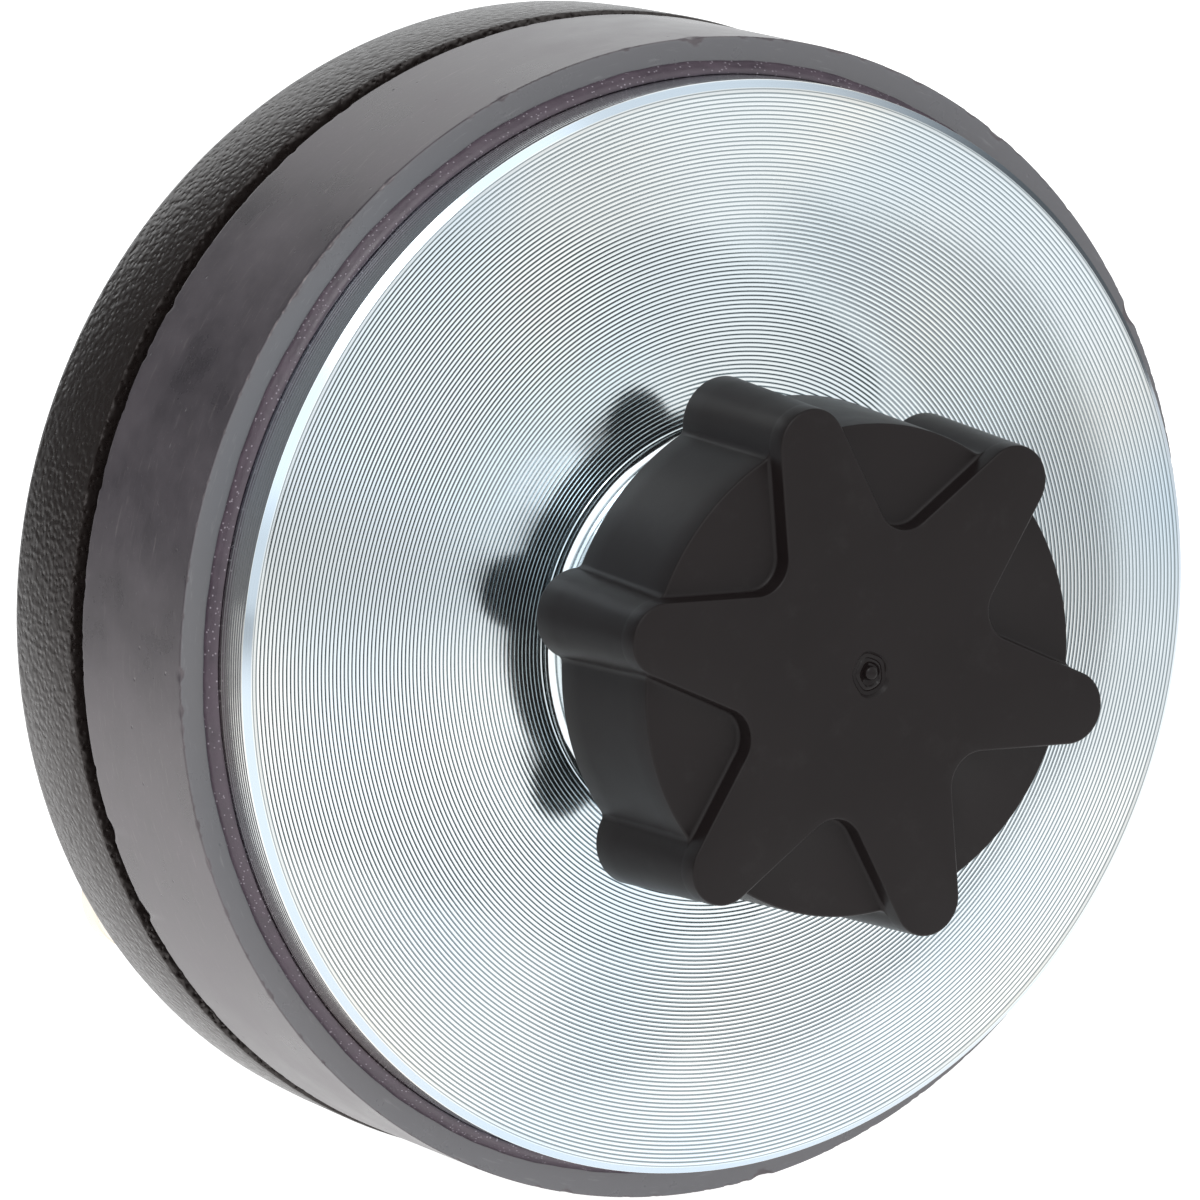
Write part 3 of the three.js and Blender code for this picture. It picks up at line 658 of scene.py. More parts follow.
def throat_snout(material):
    """The pressed-in snout: a cove at its foot, a plain collar and the 1-3/8 in thread."""
    tip, rear = span("throat_snout")
    bore_r = radius_of("screen_ring") - SCREEN_RING_W
    thread_start = -3.8
    cove_r, cove_y = 0.9, -1.02
    ledge = tip + 1.2
    foot = FOOT_RECESS - 0.05
    body_r, rear_bore_r = PLATE_BORE_R - 0.05, 13.4
    blank = turned("threaded_snout", [
        (bore_r, ledge), (bore_r + 0.9, ledge), (bore_r + 0.9, tip + 0.15), (bore_r + 1.05, tip),
        (THREAD_R - 1, tip), (THREAD_R, tip + 1),
        *arc((THREAD_R + cove_r, cove_y), cove_r, 180, 90, 10),
        (THREAD_R + cove_r, foot), (body_r, foot), (body_r, rear), (rear_bore_r, rear),
    ], sides=THREAD_SIDES)
    air = turned("air", band(THREAD_R - 2.42, THREAD_R + 1.58, tip - 1, thread_start), THREAD_SIDES)
    thread = screw("thread", THREAD_R - THREAD_DEPTH, THREAD_R, PITCH / 8, PITCH / 4,
                   tip, thread_start)
    combine(blank, combine(air, thread))
    settle(blank, material, "driver", "zinc_steel", "throat_snout")


def magnet_ring(material):
    """The ferrite ring. Its edges are ground, with small chips broken out all round."""
    front, rear = span("magnet_ring")
    outer, bore, edge = radius_of("magnet_ring"), MAGNET_BORE_R, 0.12
    rows = [
        (bore, front), (40, front), (46.5, front), (outer - 1.6, front), (outer - 0.9, front),
        (outer - 0.5, front), (outer - 0.28, front), (outer - edge, front),
        (outer - 0.035, front + 0.035),
        (outer, front + edge), (outer, front + 0.28), (outer, front + 0.5), (outer, front + 0.9),
        (outer, front + 4), (outer, (front + rear) / 2), (outer, rear - 4), (outer, rear - 0.9),
        (outer, rear - 0.5), (outer, rear - 0.28), (outer, rear - edge),
        (outer - 0.035, rear - 0.035),
        (outer - edge, rear), (outer - 0.6, rear), (outer - 2, rear), (bore, rear),
    ]
    chance = random.Random(7)
    chips = [
        (edge_y, chance.uniform(0, 2 * math.pi), size * chance.uniform(0.6, 1.5),
         size * chance.uniform(0.25, 0.45))
        for edge_y in (front, rear)
        for size, count in ((0.3, 170), (0.5, 44), (0.9, 5)) for _ in range(count)
    ]

    def chipped(radius, y, angle):
        if radius < outer - 1.2:
            return radius, y
        sunk = 0
        for edge_y, at, width, depth in chips:
            off = (angle - at + math.pi) % (2 * math.pi) - math.pi
            along = off * outer / width
            if abs(along) > 1 or abs(y - edge_y) > 1:
                continue
            across = math.hypot(outer - radius, y - edge_y) / (depth * 1.5)
            sunk = max(sunk, depth * 0.6 * (1 - along * along - across * across))
        if sunk <= 0:
            return radius, y
        inward = 1 if y < (front + rear) / 2 else -1
        return radius - sunk * 0.7, y + inward * sunk * 0.7

    made = turned("ferrite_magnet", rows, sides=1440, change=chipped)
    settle(made, material, "driver", "ferrite", "magnet_ring", sharp=28)


def front_bead(material):
    """Glue squeezed out between the plate and the magnet, its edge uneven."""
    low, high = span("front_adhesive")
    plate_r = radius_of("back_plate")
    outer = radius_of("front_adhesive")
    inner = MAGNET_BORE_R + 1

    def uneven(radius, y, angle):
        if radius < plate_r:
            return radius, y
        wave = (0.5 * math.sin(3 * angle + 0.6) + 0.3 * math.sin(7 * angle + 2)
                + 0.22 * math.sin(19 * angle) + 0.14 * math.sin(43 * angle + 1)
                + 0.1 * math.sin(97 * angle))
        reach = (radius - plate_r) / (outer - plate_r)
        return radius + 0.16 * wave * reach, y - 0.10 * wave * (1 - reach) * (y < high - 0.1)

    made = turned("front_glue_bead", [
        (inner, high - BEAD_T), (plate_r + 0.02, high - BEAD_T), (plate_r + 0.04, low + 0.08),
        (plate_r + 0.16, low), (plate_r + 0.36, low + 0.1), (plate_r + 0.6, low + 0.42),
        (plate_r + 0.82, low + 0.78), (outer - 0.04, high - 0.05), (outer - 0.05, high), (inner, high),
    ], sides=480, change=uneven)
    settle(made, material, "driver", "adhesive", "front_adhesive", sharp=60)


# ---------------------------------------------------------------- thread cap

ARMS = 6
STAR_TURN = 16.3         # first arm, from +Z towards -X
STAR_TIP_R = 23.65
ARM_END_R = 3.1
ARM_TAPER = math.radians(11.5)
VALLEY_R = 2.8
CAP_FACE_R = 20.75       # cup's radius at its face
CAP_REAR_R = 21.4
STAR_HEIGHT = 1.8
STAR_DRAFT = 0.75        # how much wider the arms are at the cap's rear edge
WALL_FILLET = 0.7        # between an arm and the cup's wall


def polar_points(centre, radius, start, end, steps):
    """Points of an arc in an arm's own plane, with the arm along x, without its first point."""
    return [
        (centre[0] + radius * math.cos(start + (end - start) * k / steps),
         centre[1] + radius * math.sin(start + (end - start) * k / steps))
        for k in range(1, steps + 1)
    ]


def between(start, end, steps):
    return [
        (start[0] + (end[0] - start[0]) * k / steps, start[1] + (end[1] - start[1]) * k / steps)
        for k in range(1, steps + 1)
    ]


def half_arm(margin):
    """Half of an arm, from its tip: the rounded end and where its straight side starts."""
    end_r = ARM_END_R + margin
    centre = (STAR_TIP_R - ARM_END_R, 0)
    tip = [(centre[0] + end_r, 0)]
    return tip + polar_points(centre, end_r, 0, math.pi / 2 - ARM_TAPER, 14)


def star_sector(margin):
    """The star's outline from an arm's tip to the middle of a valley."""
    points = half_arm(margin)
    end_r, valley_r = ARM_END_R + margin, VALLEY_R - margin
    half = math.pi / ARMS
    reach = ((STAR_TIP_R - ARM_END_R) * math.sin(ARM_TAPER) + end_r + valley_r) \
        / math.sin(ARM_TAPER + half)
    valley = (reach * math.cos(half), reach * math.sin(half))
    side_end = (valley[0] - valley_r * math.sin(ARM_TAPER), valley[1] - valley_r * math.cos(ARM_TAPER))
    start = points[-1]
    near = between(start, tuple(
        start[k] + (side_end[k] - start[k]) * 0.18 for k in (0, 1)), 6)
    side = between(near[-1], side_end, 8)
    turn = polar_points(valley, valley_r, 1.5 * math.pi - ARM_TAPER, math.pi + half, 8)
    return points + near + side + turn


def cup_sector(margin, cup_r):
    """The cap's outer wall over the same columns: an arm's end, a fillet, and the round cup."""
    points = half_arm(margin)
    end_r = ARM_END_R + margin
    side = (STAR_TIP_R - ARM_END_R) * math.sin(ARM_TAPER) + end_r
    centre_r = cup_r + WALL_FILLET
    bearing = math.asin((side + WALL_FILLET) / centre_r) - ARM_TAPER
    centre = (centre_r * math.cos(bearing), centre_r * math.sin(bearing))
    fillet = polar_points(
        centre, WALL_FILLET, 1.5 * math.pi - ARM_TAPER, math.pi + bearing, 6)
    wall = polar_points((0, 0), cup_r, bearing, math.pi / ARMS, 16)
    return points + fillet + wall


def all_round(sector):
    """Six sectors and their mirror images, as [radius, angle] points round the axis."""
    mirrored = [(x, -y) for x, y in reversed(sector[1:-1])]
    ring = []
    for k in range(ARMS):
        turn = math.radians(STAR_TURN) + 2 * math.pi * k / ARMS
        ring += [
            (math.hypot(x, y), turn + math.atan2(y, x)) for x, y in [*mirrored, *sector]
        ]
    return ring


def eased(share):
    return share * share * (3 - 2 * share)


def cut_cap_thread(made, ceiling, rear):
    """Hollows the cap out, with clearance round the snout's thread and on its flanks."""
    minor_r, groove_r = THREAD_R - THREAD_DEPTH + 0.24, THREAD_R + 0.33
    thread_end, mouth = -14.6, 1.2
    slope = math.tan(math.pi / 6)
    groove_width = PITCH / 8 - 2 * slope * (groove_r - THREAD_R) + 0.3
    root_r = minor_r - 0.1
    root_width = PITCH - groove_width - 2 * slope * (groove_r - root_r)
    hollow = turned("hollow", [
        (0, ceiling), (groove_r - 0.2, ceiling), (groove_r, ceiling + 0.2), (groove_r, thread_end),
        (minor_r, thread_end + 0.3), (minor_r, rear - mouth), (minor_r + mouth, rear),
        (minor_r + mouth, rear + 1), (0, rear + 1),
    ], sides=THREAD_SIDES)
    groove = screw("groove", root_r, groove_r, groove_width, root_width, thread_end, rear)
    combine(groove, turned("length", [
        (0, thread_end - 0.4), (groove_r + 1, thread_end - 0.4), (groove_r + 1, rear + 1),
        (0, rear + 1),
    ], THREAD_SIDES), "INTERSECT")
    combine(combine(made, hollow), groove)


def thread_cap(material):
    """A moulded cup with six grip arms that rise as a star on its face, and a thread inside."""
    face, rear = span("thread_cap")
    floor = face + STAR_HEIGHT
    edge, foot = 0.22, 0.32

    # How far each column belongs to the cup's round wall: none on an arm, all in a valley.
    arm_columns, fillet_columns = 15, 6
    sector_columns = len(star_sector(0))
    share_of_cup = [
        eased(min(1, max(0, (k - arm_columns + 1) / fillet_columns))) for k in range(sector_columns)
    ]
    weights = (share_of_cup[-2:0:-1] + share_of_cup) * ARMS

    def wall(y):
        share = (y - face) / (rear - face)
        cup_r = CAP_FACE_R + (CAP_REAR_R - CAP_FACE_R) * max(0, (y - floor) / (rear - floor))
        return all_round(cup_sector(STAR_DRAFT * share, cup_r))

    def star(y, margin=0.0):
        return all_round(star_sector(STAR_DRAFT * (y - face) / (rear - face) + margin))

    rows = [[(r - edge, a, rear) for r, a in wall(rear)]]
    for k in (1, 2, 3):
        turn = math.radians(30 * k)
        y = rear - edge * (1 - math.cos(turn))
        rows.append([(r - edge * (1 - math.sin(turn)), a, y) for r, a in wall(y)])
    for k in range(1, 6):
        y = rear - edge + (floor + 2 * edge - rear) * k / 5
        rows.append([(r, a, y) for r, a in wall(y)])
    for k in range(1, 5):
        turn = math.radians(22.5 * k)
        y = floor + edge * (1 - math.sin(turn))
        rows.append([
            (r - edge * (1 - math.cos(turn)) * w, a, y)
            for (r, a), w in zip(wall(y), weights)
        ])
    for k in range(5):
        turn = math.radians(22.5 * k)
        rise = 0.03 + foot * (1 - math.cos(turn))
        margin = foot * (1 - math.sin(turn))
        inner = star(floor, margin)
        plain = star(floor)
        rows.append([
            (rm * w + r * (1 - w), am * w + a * (1 - w),
             floor - rise + 0.03 * w * (k == 0))
            for (rm, am), (r, a), w in zip(inner, plain, weights)
        ])
    for k in range(5):
        turn = math.radians(22.5 * k)
        y = face + edge * (1 - math.sin(turn))
        rows.append([(r, a, y) for r, a in star(y, -edge * (1 - math.cos(turn)))])
    for radius in (11.5, 6, 2.6, 2.05):
        rows.append([(min(radius, r), a, face) for r, a in star(face, -edge)])
    gate = ((GATE_R, 0), (1.8, 0.1), (1.65, 0.3), (1.35, 0.34), (1.2, 0.2), (1.05, 0.16), (0.9, 0.3))
    for radius, sunk in gate:
        rows.append([
            (radius * (1 + 0.06 * math.sin(2 * a + 1) + 0.03 * math.sin(5 * a)), a, face + sunk)
            for _, a in star(face)
        ])
    for radius, sunk in ((0.62, 0.32), (0.55, 0.02), (0.42, -0.1), (0.22, -0.15)):
        rows.append([
            (radius * (1 + 0.2 * math.sin(a + 2)), a, face + sunk + 0.08 * radius * math.sin(a))
            for _, a in star(face)
        ])

    count = len(rows[0])
    points = [on_circle(r, y, a) for row in rows for r, a, y in row]
    faces = [
        (row * count + k, row * count + (k + 1) % count,
         (row + 1) * count + (k + 1) % count, (row + 1) * count + k)
        for row in range(len(rows) - 1) for k in range(count)
    ]
    faces.append(tuple(range(count)))
    faces.append(tuple((len(rows) - 1) * count + k for k in range(count)))
    made = piece("star_thread_cap", points, faces)

    cut_cap_thread(made, span("cap_liner")[0] - 0.03, rear)
    settle(made, material, "cap", "cap_plastic", "thread_cap", sharp=35)


def cap_liner(material):
    """A soft foam disc with a rolled edge, dented where the snout's tip has pressed it."""
    low, high = span("cap_liner")
    outer = radius_of("cap_liner")
    middle = (low + high) / 2
    half = (high - low) / 2

    def pressed(radius, y, angle):
        lumps = 0.03 * math.sin(5 * angle + 1.3) * math.sin(radius * 0.7) \
            + 0.02 * math.sin(13 * angle) * math.cos(radius * 1.9)
        ring = math.exp(-((radius - 15.2) / 1.1) ** 2)
        return radius, y - (0.16 * ring + lumps * (radius < outer - 1)) * (y > middle)

    made = turned("foam_cap_liner", [
        (0, low), *[(outer * k / 10, low) for k in range(1, 10)], (outer - half, low),
        *arc((outer - half, middle), half * 0.98, -90, 90, 8),
        *[(outer * k / 20, high - 0.05) for k in range(18, 0, -1)], (0, high - 0.05),
    ], sides=144, change=pressed)
    settle(made, material, "cap_seal", "foam", "cap_liner", sharp=80)


# ---------------------------------------------------------------- rear cover and its screws

SCREW_ANGLES = (0, 90, 180, 270)
SCREW_CIRCLE_R = 42.5
COVER_SCREW = {"shank_r": 1.55, "length": 11, "head_r": 3, "head_t": 2}
RING_SCREW = {"shank_r": 1.25, "length": 8, "head_r": 2.4, "head_t": 1.6}
TERMINALS = {"left": 130, "right": -130}
TERMINAL_CIRCLE_R = 42.2
SHOULDER = 36            # flat ring of the cover, which the terminals stand on
COVER_INSIDE = 33.6      # the shoulder's inner face
DOME_INSIDE = 46.6       # the dome's inner face
BOSS_R = 3.6
COUNTERBORE_R = 3.4
STUD_R = 1.9


def bore(angle, circle_r, radius, low, high, lead=0.0):
    """A round cutter with an optional chamfer at its high end."""
    outline = [(0, low), (radius, low), (radius, high - lead), (radius + lead, high),
               (radius + lead, high + 1), (0, high + 1)]
    return placed(turned("bore", outline, SMALL_SIDES), angle, circle_r)


def rear_cover(material):
    """The moulded cover: a rim round the top plate, a flat shoulder and a dome."""
    front, rear = span("rear_cover")
    rim_r = radius_of("rear_cover")
    skirt_inner, seat_inner = rim_r - 2.44, 45.9
    boss_foot = span("cover_gasket")[1] + 0.03
    seat = span("cover_screw_1")[0] + COVER_SCREW["length"] - 0.03
    made = turned("grained_rear_cover", [
        (0, rear), (26, rear),
        *arc((29.2, rear - 3.4), 3.4, 90, 14, 9), (34.6, 39.6), (35.1, 37.4), (35.5, 36.5),
        (36.2, SHOULDER), (47.2, SHOULDER), *arc((47.4, 33.45), 2.55, 85, 8, 8),
        (rim_r - 0.13, 31), (rim_r, front + 0.25), (rim_r - 0.06, front + 0.06),
        (rim_r - 0.3, front), (skirt_inner, front), (skirt_inner, boss_foot),
        (seat_inner, boss_foot), (seat_inner, COVER_INSIDE), (32.9, COVER_INSIDE), (30.4, 45.2),
        (29, DOME_INSIDE), (0, DOME_INSIDE),
    ], sides=240)
    for angle in SCREW_ANGLES:
        boss = turned("boss", band(0, BOSS_R, boss_foot, SHOULDER - 1), SMALL_SIDES)
        combine(made, placed(boss, angle, SCREW_CIRCLE_R), "UNION")
    for angle in SCREW_ANGLES:
        shank_hole_r = COVER_SCREW["shank_r"] + 0.2
        combine(made, bore(angle, SCREW_CIRCLE_R, shank_hole_r, boss_foot - 1, seat + 0.5))
        combine(made, bore(angle, SCREW_CIRCLE_R, COUNTERBORE_R, seat, SHOULDER, 0.25))
    for angle in TERMINALS.values():
        combine(made, bore(
            angle, TERMINAL_CIRCLE_R, STUD_R + 0.2, COVER_INSIDE - 1, SHOULDER, 0.2))
    settle(made, material, "driver", "cover_plastic", "rear_cover", sharp=35)


def pan_screw(name, shank_r, length, head_r, head_t):
    """A domed pan head with a cross recess, and a shank with its thread."""
    made = turned(name, [
        (0, -length), (shank_r * 0.55, -length), (shank_r * 0.9, -length + shank_r),
        (shank_r * 0.9, -0.4), (shank_r, -0.2), (shank_r, 0), (head_r - 0.15, 0),
        (head_r, 0.15), (head_r, head_t * 0.42), *arc((head_r - head_t * 0.5, head_t * 0.4),
                                                      head_t * 0.5, 10, 80, 5),
        (head_r * 0.4, head_t * 0.98), (0, head_t),
    ], SMALL_SIDES)
    thread_pitch = shank_r * 0.4
    steps = 18
    helix, points = [], []
    turns = int((length - shank_r - 1) / thread_pitch)
    for k in range(turns * steps + 1):
        angle = -2 * math.pi * k / steps
        y = -length + shank_r + thread_pitch * k / steps
        fade = min(1, k / steps, (turns * steps - k) / steps + 0.05)
        helix.append((angle, y, max(0.05, fade)))
    for angle, y, fade in helix:
        for radius, rise in ((0.8, -0.42), (0.9 + 0.1 * fade, 0), (0.8, 0.42)):
            points.append(on_circle(shank_r * radius, y + rise * thread_pitch, angle))
    combine(made, piece("thread", points, tube_faces(len(helix) - 1, 3)), "UNION")
    wing, deep = head_r * 0.58, head_t * 0.62
    for turn in (0, math.pi / 2):
        foot = (head_t - deep, wing * 0.45, head_r * 0.07)
        mouth = (head_t + 0.3, wing * 1.1, head_r * 0.12)
        combine(made, bar("blade", turn, foot, mouth))
    return made


def screws(cover_material, ring_material):
    head = span("cover_screw_1")[1] - COVER_SCREW["head_t"]
    for k, angle in enumerate(SCREW_ANGLES, 1):
        made = pan_screw(f"cover_pan_screw_{k}", **COVER_SCREW)
        made.data.transform(Matrix.Rotation(math.radians(17 * k), 4, "Y"))
        placed(made, angle, SCREW_CIRCLE_R, head)
        settle(made, cover_material, "driver", "black_steel", f"cover_screw_{k}", sharp=40)
    low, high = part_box("ring_screw_1")
    circle_r = math.hypot(low.x + high.x, low.z + high.z) / 2 / MM
    for k in range(1, 5):
        low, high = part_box(f"ring_screw_{k}")
        angle = math.degrees(math.atan2(-(low.x + high.x), low.z + high.z))
        made = pan_screw(f"ring_pan_screw_{k}", **RING_SCREW)
        made.data.transform(Matrix.Rotation(math.radians(31 * k), 4, "Y"))
        placed(made, angle, circle_r, high.y / MM - RING_SCREW["head_t"])
        settle(made, ring_material, "driver", "steel", f"ring_screw_{k}", sharp=40)


# ---------------------------------------------------------------- push terminals

TERMINAL_R = 5.15
BUTTON_R = 3.4
BASE_R = 5.6
WIRE_HOLE = 5.1          # height of the hole for the wire, above the shoulder


def cross_hole(radius, y, length=14):
    """A round cutter across a terminal, for the wire."""
    made = turned("cross_hole", band(0, radius, -length / 2, length / 2), SMALL_SIDES)
    made.data.transform(Matrix.Rotation(math.pi / 2, 4, "Z"))
    made.data.transform(Matrix.Translation((0, y * MM, 0)))
    return made


def coil_spring(name, radius, wire_r, turns, low, high):
    """A helical spring with closed ends, as one swept wire."""
    steps, sides = int(turns * 28), 8
    points = []
    for k in range(steps + 1):
        share = k / steps
        angle = 2 * math.pi * turns * share
        y = low + (high - low) * (share + 0.06 * math.sin(2 * math.pi * share) / math.pi)
        for j in range(sides):
            around = 2 * math.pi * j / sides
            points.append(on_circle(
                radius + wire_r * math.cos(around), y + wire_r * math.sin(around), angle))
    return piece(name, points, tube_faces(steps, sides))


def terminal(side, angle, materials):
    """One push terminal: base, plated barrel, sprung button and nut, heights above the cover's
    shoulder."""
    metal, button_material, black, steel = materials

    def stand(made):
        return placed(made, angle, TERMINAL_CIRCLE_R, SHOULDER)

    base = turned(f"{side}_insulating_base", rounded(
        band(STUD_R + 0.1, BASE_R, 0.03, 1.2), 0.25), SMALL_SIDES)
    settle(stand(base), black, "driver", "black_plastic", f"{side}_terminal_base")

    top, floor = 10.5, 2
    barrel = turned(f"{side}_plated_barrel", [
        (0, floor), (BUTTON_R + 0.15, floor), (BUTTON_R + 0.15, top - 0.25),
        (BUTTON_R + 0.4, top), (TERMINAL_R - 0.55, top), *arc((TERMINAL_R - 0.5, top - 0.5), 0.5,
                                                            80, 0, 5),
        (TERMINAL_R, 8.4), (TERMINAL_R - 0.18, 8.2), (TERMINAL_R - 0.18, 7.9), (TERMINAL_R, 7.7),
        (TERMINAL_R, 2.2), (TERMINAL_R - 0.18, 2.05), (TERMINAL_R - 0.18, 1.8),
        (TERMINAL_R, 1.65), (TERMINAL_R - 0.12, 1.25), (STUD_R, 1.25), (STUD_R, -6.0),
        (STUD_R - 0.2, -6.2), (0, -6.2),
    ], SMALL_SIDES)
    combine(barrel, cross_hole(1.4, WIRE_HOLE))
    settle(stand(barrel), metal, "driver", "terminal_metal", f"{side}_terminal_barrel")

    button = turned(f"{side}_push_button", [
        (0, 5.9), (BUTTON_R - 0.2, 5.9), (BUTTON_R, 6.1), (BUTTON_R, 13.0),
        *arc((BUTTON_R - 0.8, 13.0), 0.8, 0, 80, 6), (1.9, 13.72), (0, 13.62),
    ], SMALL_SIDES)
    combine(button, cross_hole(1.2, WIRE_HOLE + 2.4))
    slot = "red_plastic" if side == "left" else "black_plastic"
    settle(stand(button), button_material, f"{side}_button", slot, f"{side}_terminal_button")

    spring = coil_spring(f"{side}_coil_spring", 2.5, 0.2, 3.5, 2.25, 5.65)
    settle(stand(spring), steel, "driver", "steel", f"{side}_terminal_spring", sharp=60)
    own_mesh(spring)

    nut = turned(f"{side}_hex_nut", rounded(band(0, 3.35, -5.7, -3.1), 0.2, 2), 6)
    combine(nut, turned("hole", band(0, STUD_R + 0.1, -6, -2.8), SMALL_SIDES))
    settle(stand(nut), steel, "driver", "steel", f"{side}_terminal_nut")


def solder_tab(side, angle, material):
    """A plated tab under the nut, with a round end and a hole for the lead."""
    steps = 12
    outline = []
    for k in range(steps + 1):
        turn = math.pi * k / steps
        outline.append((2.2 * math.cos(turn), 2.0 * math.sin(turn)))
    for k in range(steps + 1):
        turn = math.pi * k / steps
        outline.append((-1.1 * math.cos(turn), -5.8 - 1.05 * math.sin(turn)))
    points = [(x, y, z) for y in (-3.0, -2.5) for x, z in outline]
    tab = piece(f"{side}_solder_lug", points, tube_faces(1, len(outline)))
    for z, radius in ((0, STUD_R + 0.1), (-5.7, 0.55)):
        hole = turned("hole", band(0, radius, -4, -2), SMALL_SIDES)
        hole.data.transform(Matrix.Translation((0, 0, z * MM)))
        combine(tab, hole)
    settle(placed(tab, angle, TERMINAL_CIRCLE_R, SHOULDER), material, "driver", "terminal_metal",
           f"{side}_solder_tab")


# ---------------------------------------------------------------- throat and inner pieces


def throat_screen(material):
    """Plain-woven wire cloth, trimmed round."""
    low, high = span("throat_screen")
    radius = radius_of("throat_screen")
    wire_r, mesh_pitch, sides = 0.085, 0.72, 6
    middle = (low + high) / 2
    weave = (high - low) / 2 - wire_r
    count = int(radius / mesh_pitch)
    points, faces = [], []
    for lengthwise in (False, True):
        for k in range(-count, count + 1):
            off = k * mesh_pitch
            half = math.sqrt(max(0, (radius - 0.05) ** 2 - off * off))
            steps = max(2, round(2 * half / (mesh_pitch / 4)))
            first = len(points)
            for step in range(steps + 1):
                along = -half + 2 * half * step / steps
                phase = math.pi * (along / mesh_pitch + k + (1 if lengthwise else 0))
                y = middle + weave * math.sin(phase + math.pi / 2)
                for j in range(sides):
                    turn = 2 * math.pi * j / sides
                    across, rise = off + wire_r * math.cos(turn), y + wire_r * math.sin(turn)
                    points.append((along, rise, across) if lengthwise else (across, rise, along))
            faces += tube_faces(steps, sides, first)
    made = piece("woven_throat_screen", points, faces)
    settle(made, material, "driver", "steel", "throat_screen", sharp=70)


def screen_ring(material):
    low, high = span("screen_ring")
    outer = radius_of("screen_ring")
    inner = outer - SCREEN_RING_W
    made = turned("throat_snap_ring", rounded(band(inner, outer, low, high), 0.12), INNER_SIDES)
    settle(made, material, "driver", "black_steel", "screen_ring")


def damping_foam(material):
    """A foam disc glued inside the dome, slightly crowned and uneven."""
    low, high = span("damping_foam")
    outer = radius_of("damping_foam")

    def uneven(radius, y, angle):
        lumps = 0.12 * math.sin(4 * angle + radius * 0.3) + 0.08 * math.sin(radius * 0.9)
        return radius, y + (lumps * (radius < outer - 1.5) + 0.15) * (y < low + 0.5)

    made = turned("dome_foam_disc", [
        (0, high), (outer - 1, high), *arc((outer - 1, high - 1), 1, 90, 0, 5),
        *arc((outer - 1.3, low + 1.3), 1.3, 0, -90, 6),
        *[(outer * k / 12, low + 0.1) for k in range(11, 0, -1)], (0, low + 0.1),
    ], sides=120, change=uneven)
    settle(made, material, "driver", "foam", "damping_foam", sharp=80)


SLITS = ((14.6, 9.2), (7.6, 3.6))   # inner radius of each slit at the plug's rear and front
SLIT_T = 1.1
RIB_T = 1.4


def phase_plug(material):
    """Three rings on four ribs, with a slit between each two that narrows to the diaphragm."""
    front, rear = span("phase_plug")
    face, rim_r, step_r = 35.9, 19.9, 16.8
    rest = POLE_CUP_FLOOR + 0.05
    centre = (0, rear - face)
    edge = math.degrees(math.acos(rim_r / face))
    made = turned("ribbed_phase_plug", [
        (0, front), (0.3, front + 0.35), (step_r, rest), (rim_r, rest),
        *arc(centre, face, edge + 0.4, 89, 24), (0, rear),
    ], INNER_SIDES)
    for back_r, front_r in SLITS:
        slit = turned("slit", [
            (back_r, 37), (back_r + SLIT_T, 37), (front_r + SLIT_T, 11), (front_r, 11)], INNER_SIDES)
        for turn in (0, math.pi / 2):
            combine(slit, bar("rib", turn, (10, 22, RIB_T / 2), (38, 22, RIB_T / 2)))
        combine(made, slit)
    settle(made, material, "driver", "ring_plastic", "phase_plug")


def diaphragm(metal, film, copper):
    """The dome, its surround, and the coil on its former, wound turn by turn."""
    dome_r, thick, edge_r = 36.8, 0.25, 21.6
    centre = (0, -0.2)
    edge = math.degrees(math.acos(edge_r / dome_r))
    dome = turned("titanium_dome", [
        (0, centre[1] + dome_r), *arc(centre, dome_r, 89, edge, 24),
        *arc(centre, dome_r + thick, edge, 89, 24), (0, centre[1] + dome_r + thick),
    ], 192)
    settle(dome, metal, "diaphragm", "titanium", "diaphragm_dome")

    flange_r = radius_of("surround")
    roll, flange = 24.4, 29.55

    def pleated(radius, y, angle):
        lift = max(0, y - flange - 0.3) / 2
        return radius, y - 0.22 * lift * (0.5 + 0.5 * math.cos(40 * angle + radius * 2.2))

    edge_roll = turned("pleated_surround", [
        *arc((roll, flange), 2.1, 180, 0, 14), (flange_r, flange), (flange_r, flange + 0.2),
        *arc((roll, flange + 0.2), 2.25, 0, 180, 14),
    ], 480, change=pleated)
    settle(edge_roll, film, "driver", "film", "surround", sharp=60)

    low, high = span("coil_former")
    former_r = radius_of("coil_former")
    former = turned("coil_former_tube", band(former_r - 0.15, former_r, low, high), INNER_SIDES)
    settle(former, film, "diaphragm", "film", "coil_former")

    low, high = span("voice_coil")
    coil_r, wire_r = radius_of("voice_coil"), 0.12
    inner = coil_r - 0.28
    turns = int((high - low) / (2 * wire_r))
    wound = [(inner, low)]
    for k in range(turns):
        at = low + wire_r + k * (high - low - 2 * wire_r) / (turns - 1)
        wound += [(coil_r - wire_r + wire_r * math.cos(t), at + wire_r * math.sin(t))
                  for t in (-1.2, -0.6, 0, 0.6, 1.2)]
    wound.append((inner, high))
    coil = turned("wound_voice_coil", wound, INNER_SIDES)
    settle(coil, copper, "diaphragm", "copper", "voice_coil", sharp=50)


def flat_ring(name, material, slot, node, bore_r, edge=0.2):
    """A washer of a node's height and outer radius, with its corners eased."""
    low, high = span(node)
    outer = radius_of(node)
    made = turned(name, rounded(band(bore_r, outer, low, high), edge))
    settle(made, material, "driver", slot, node)
    return made


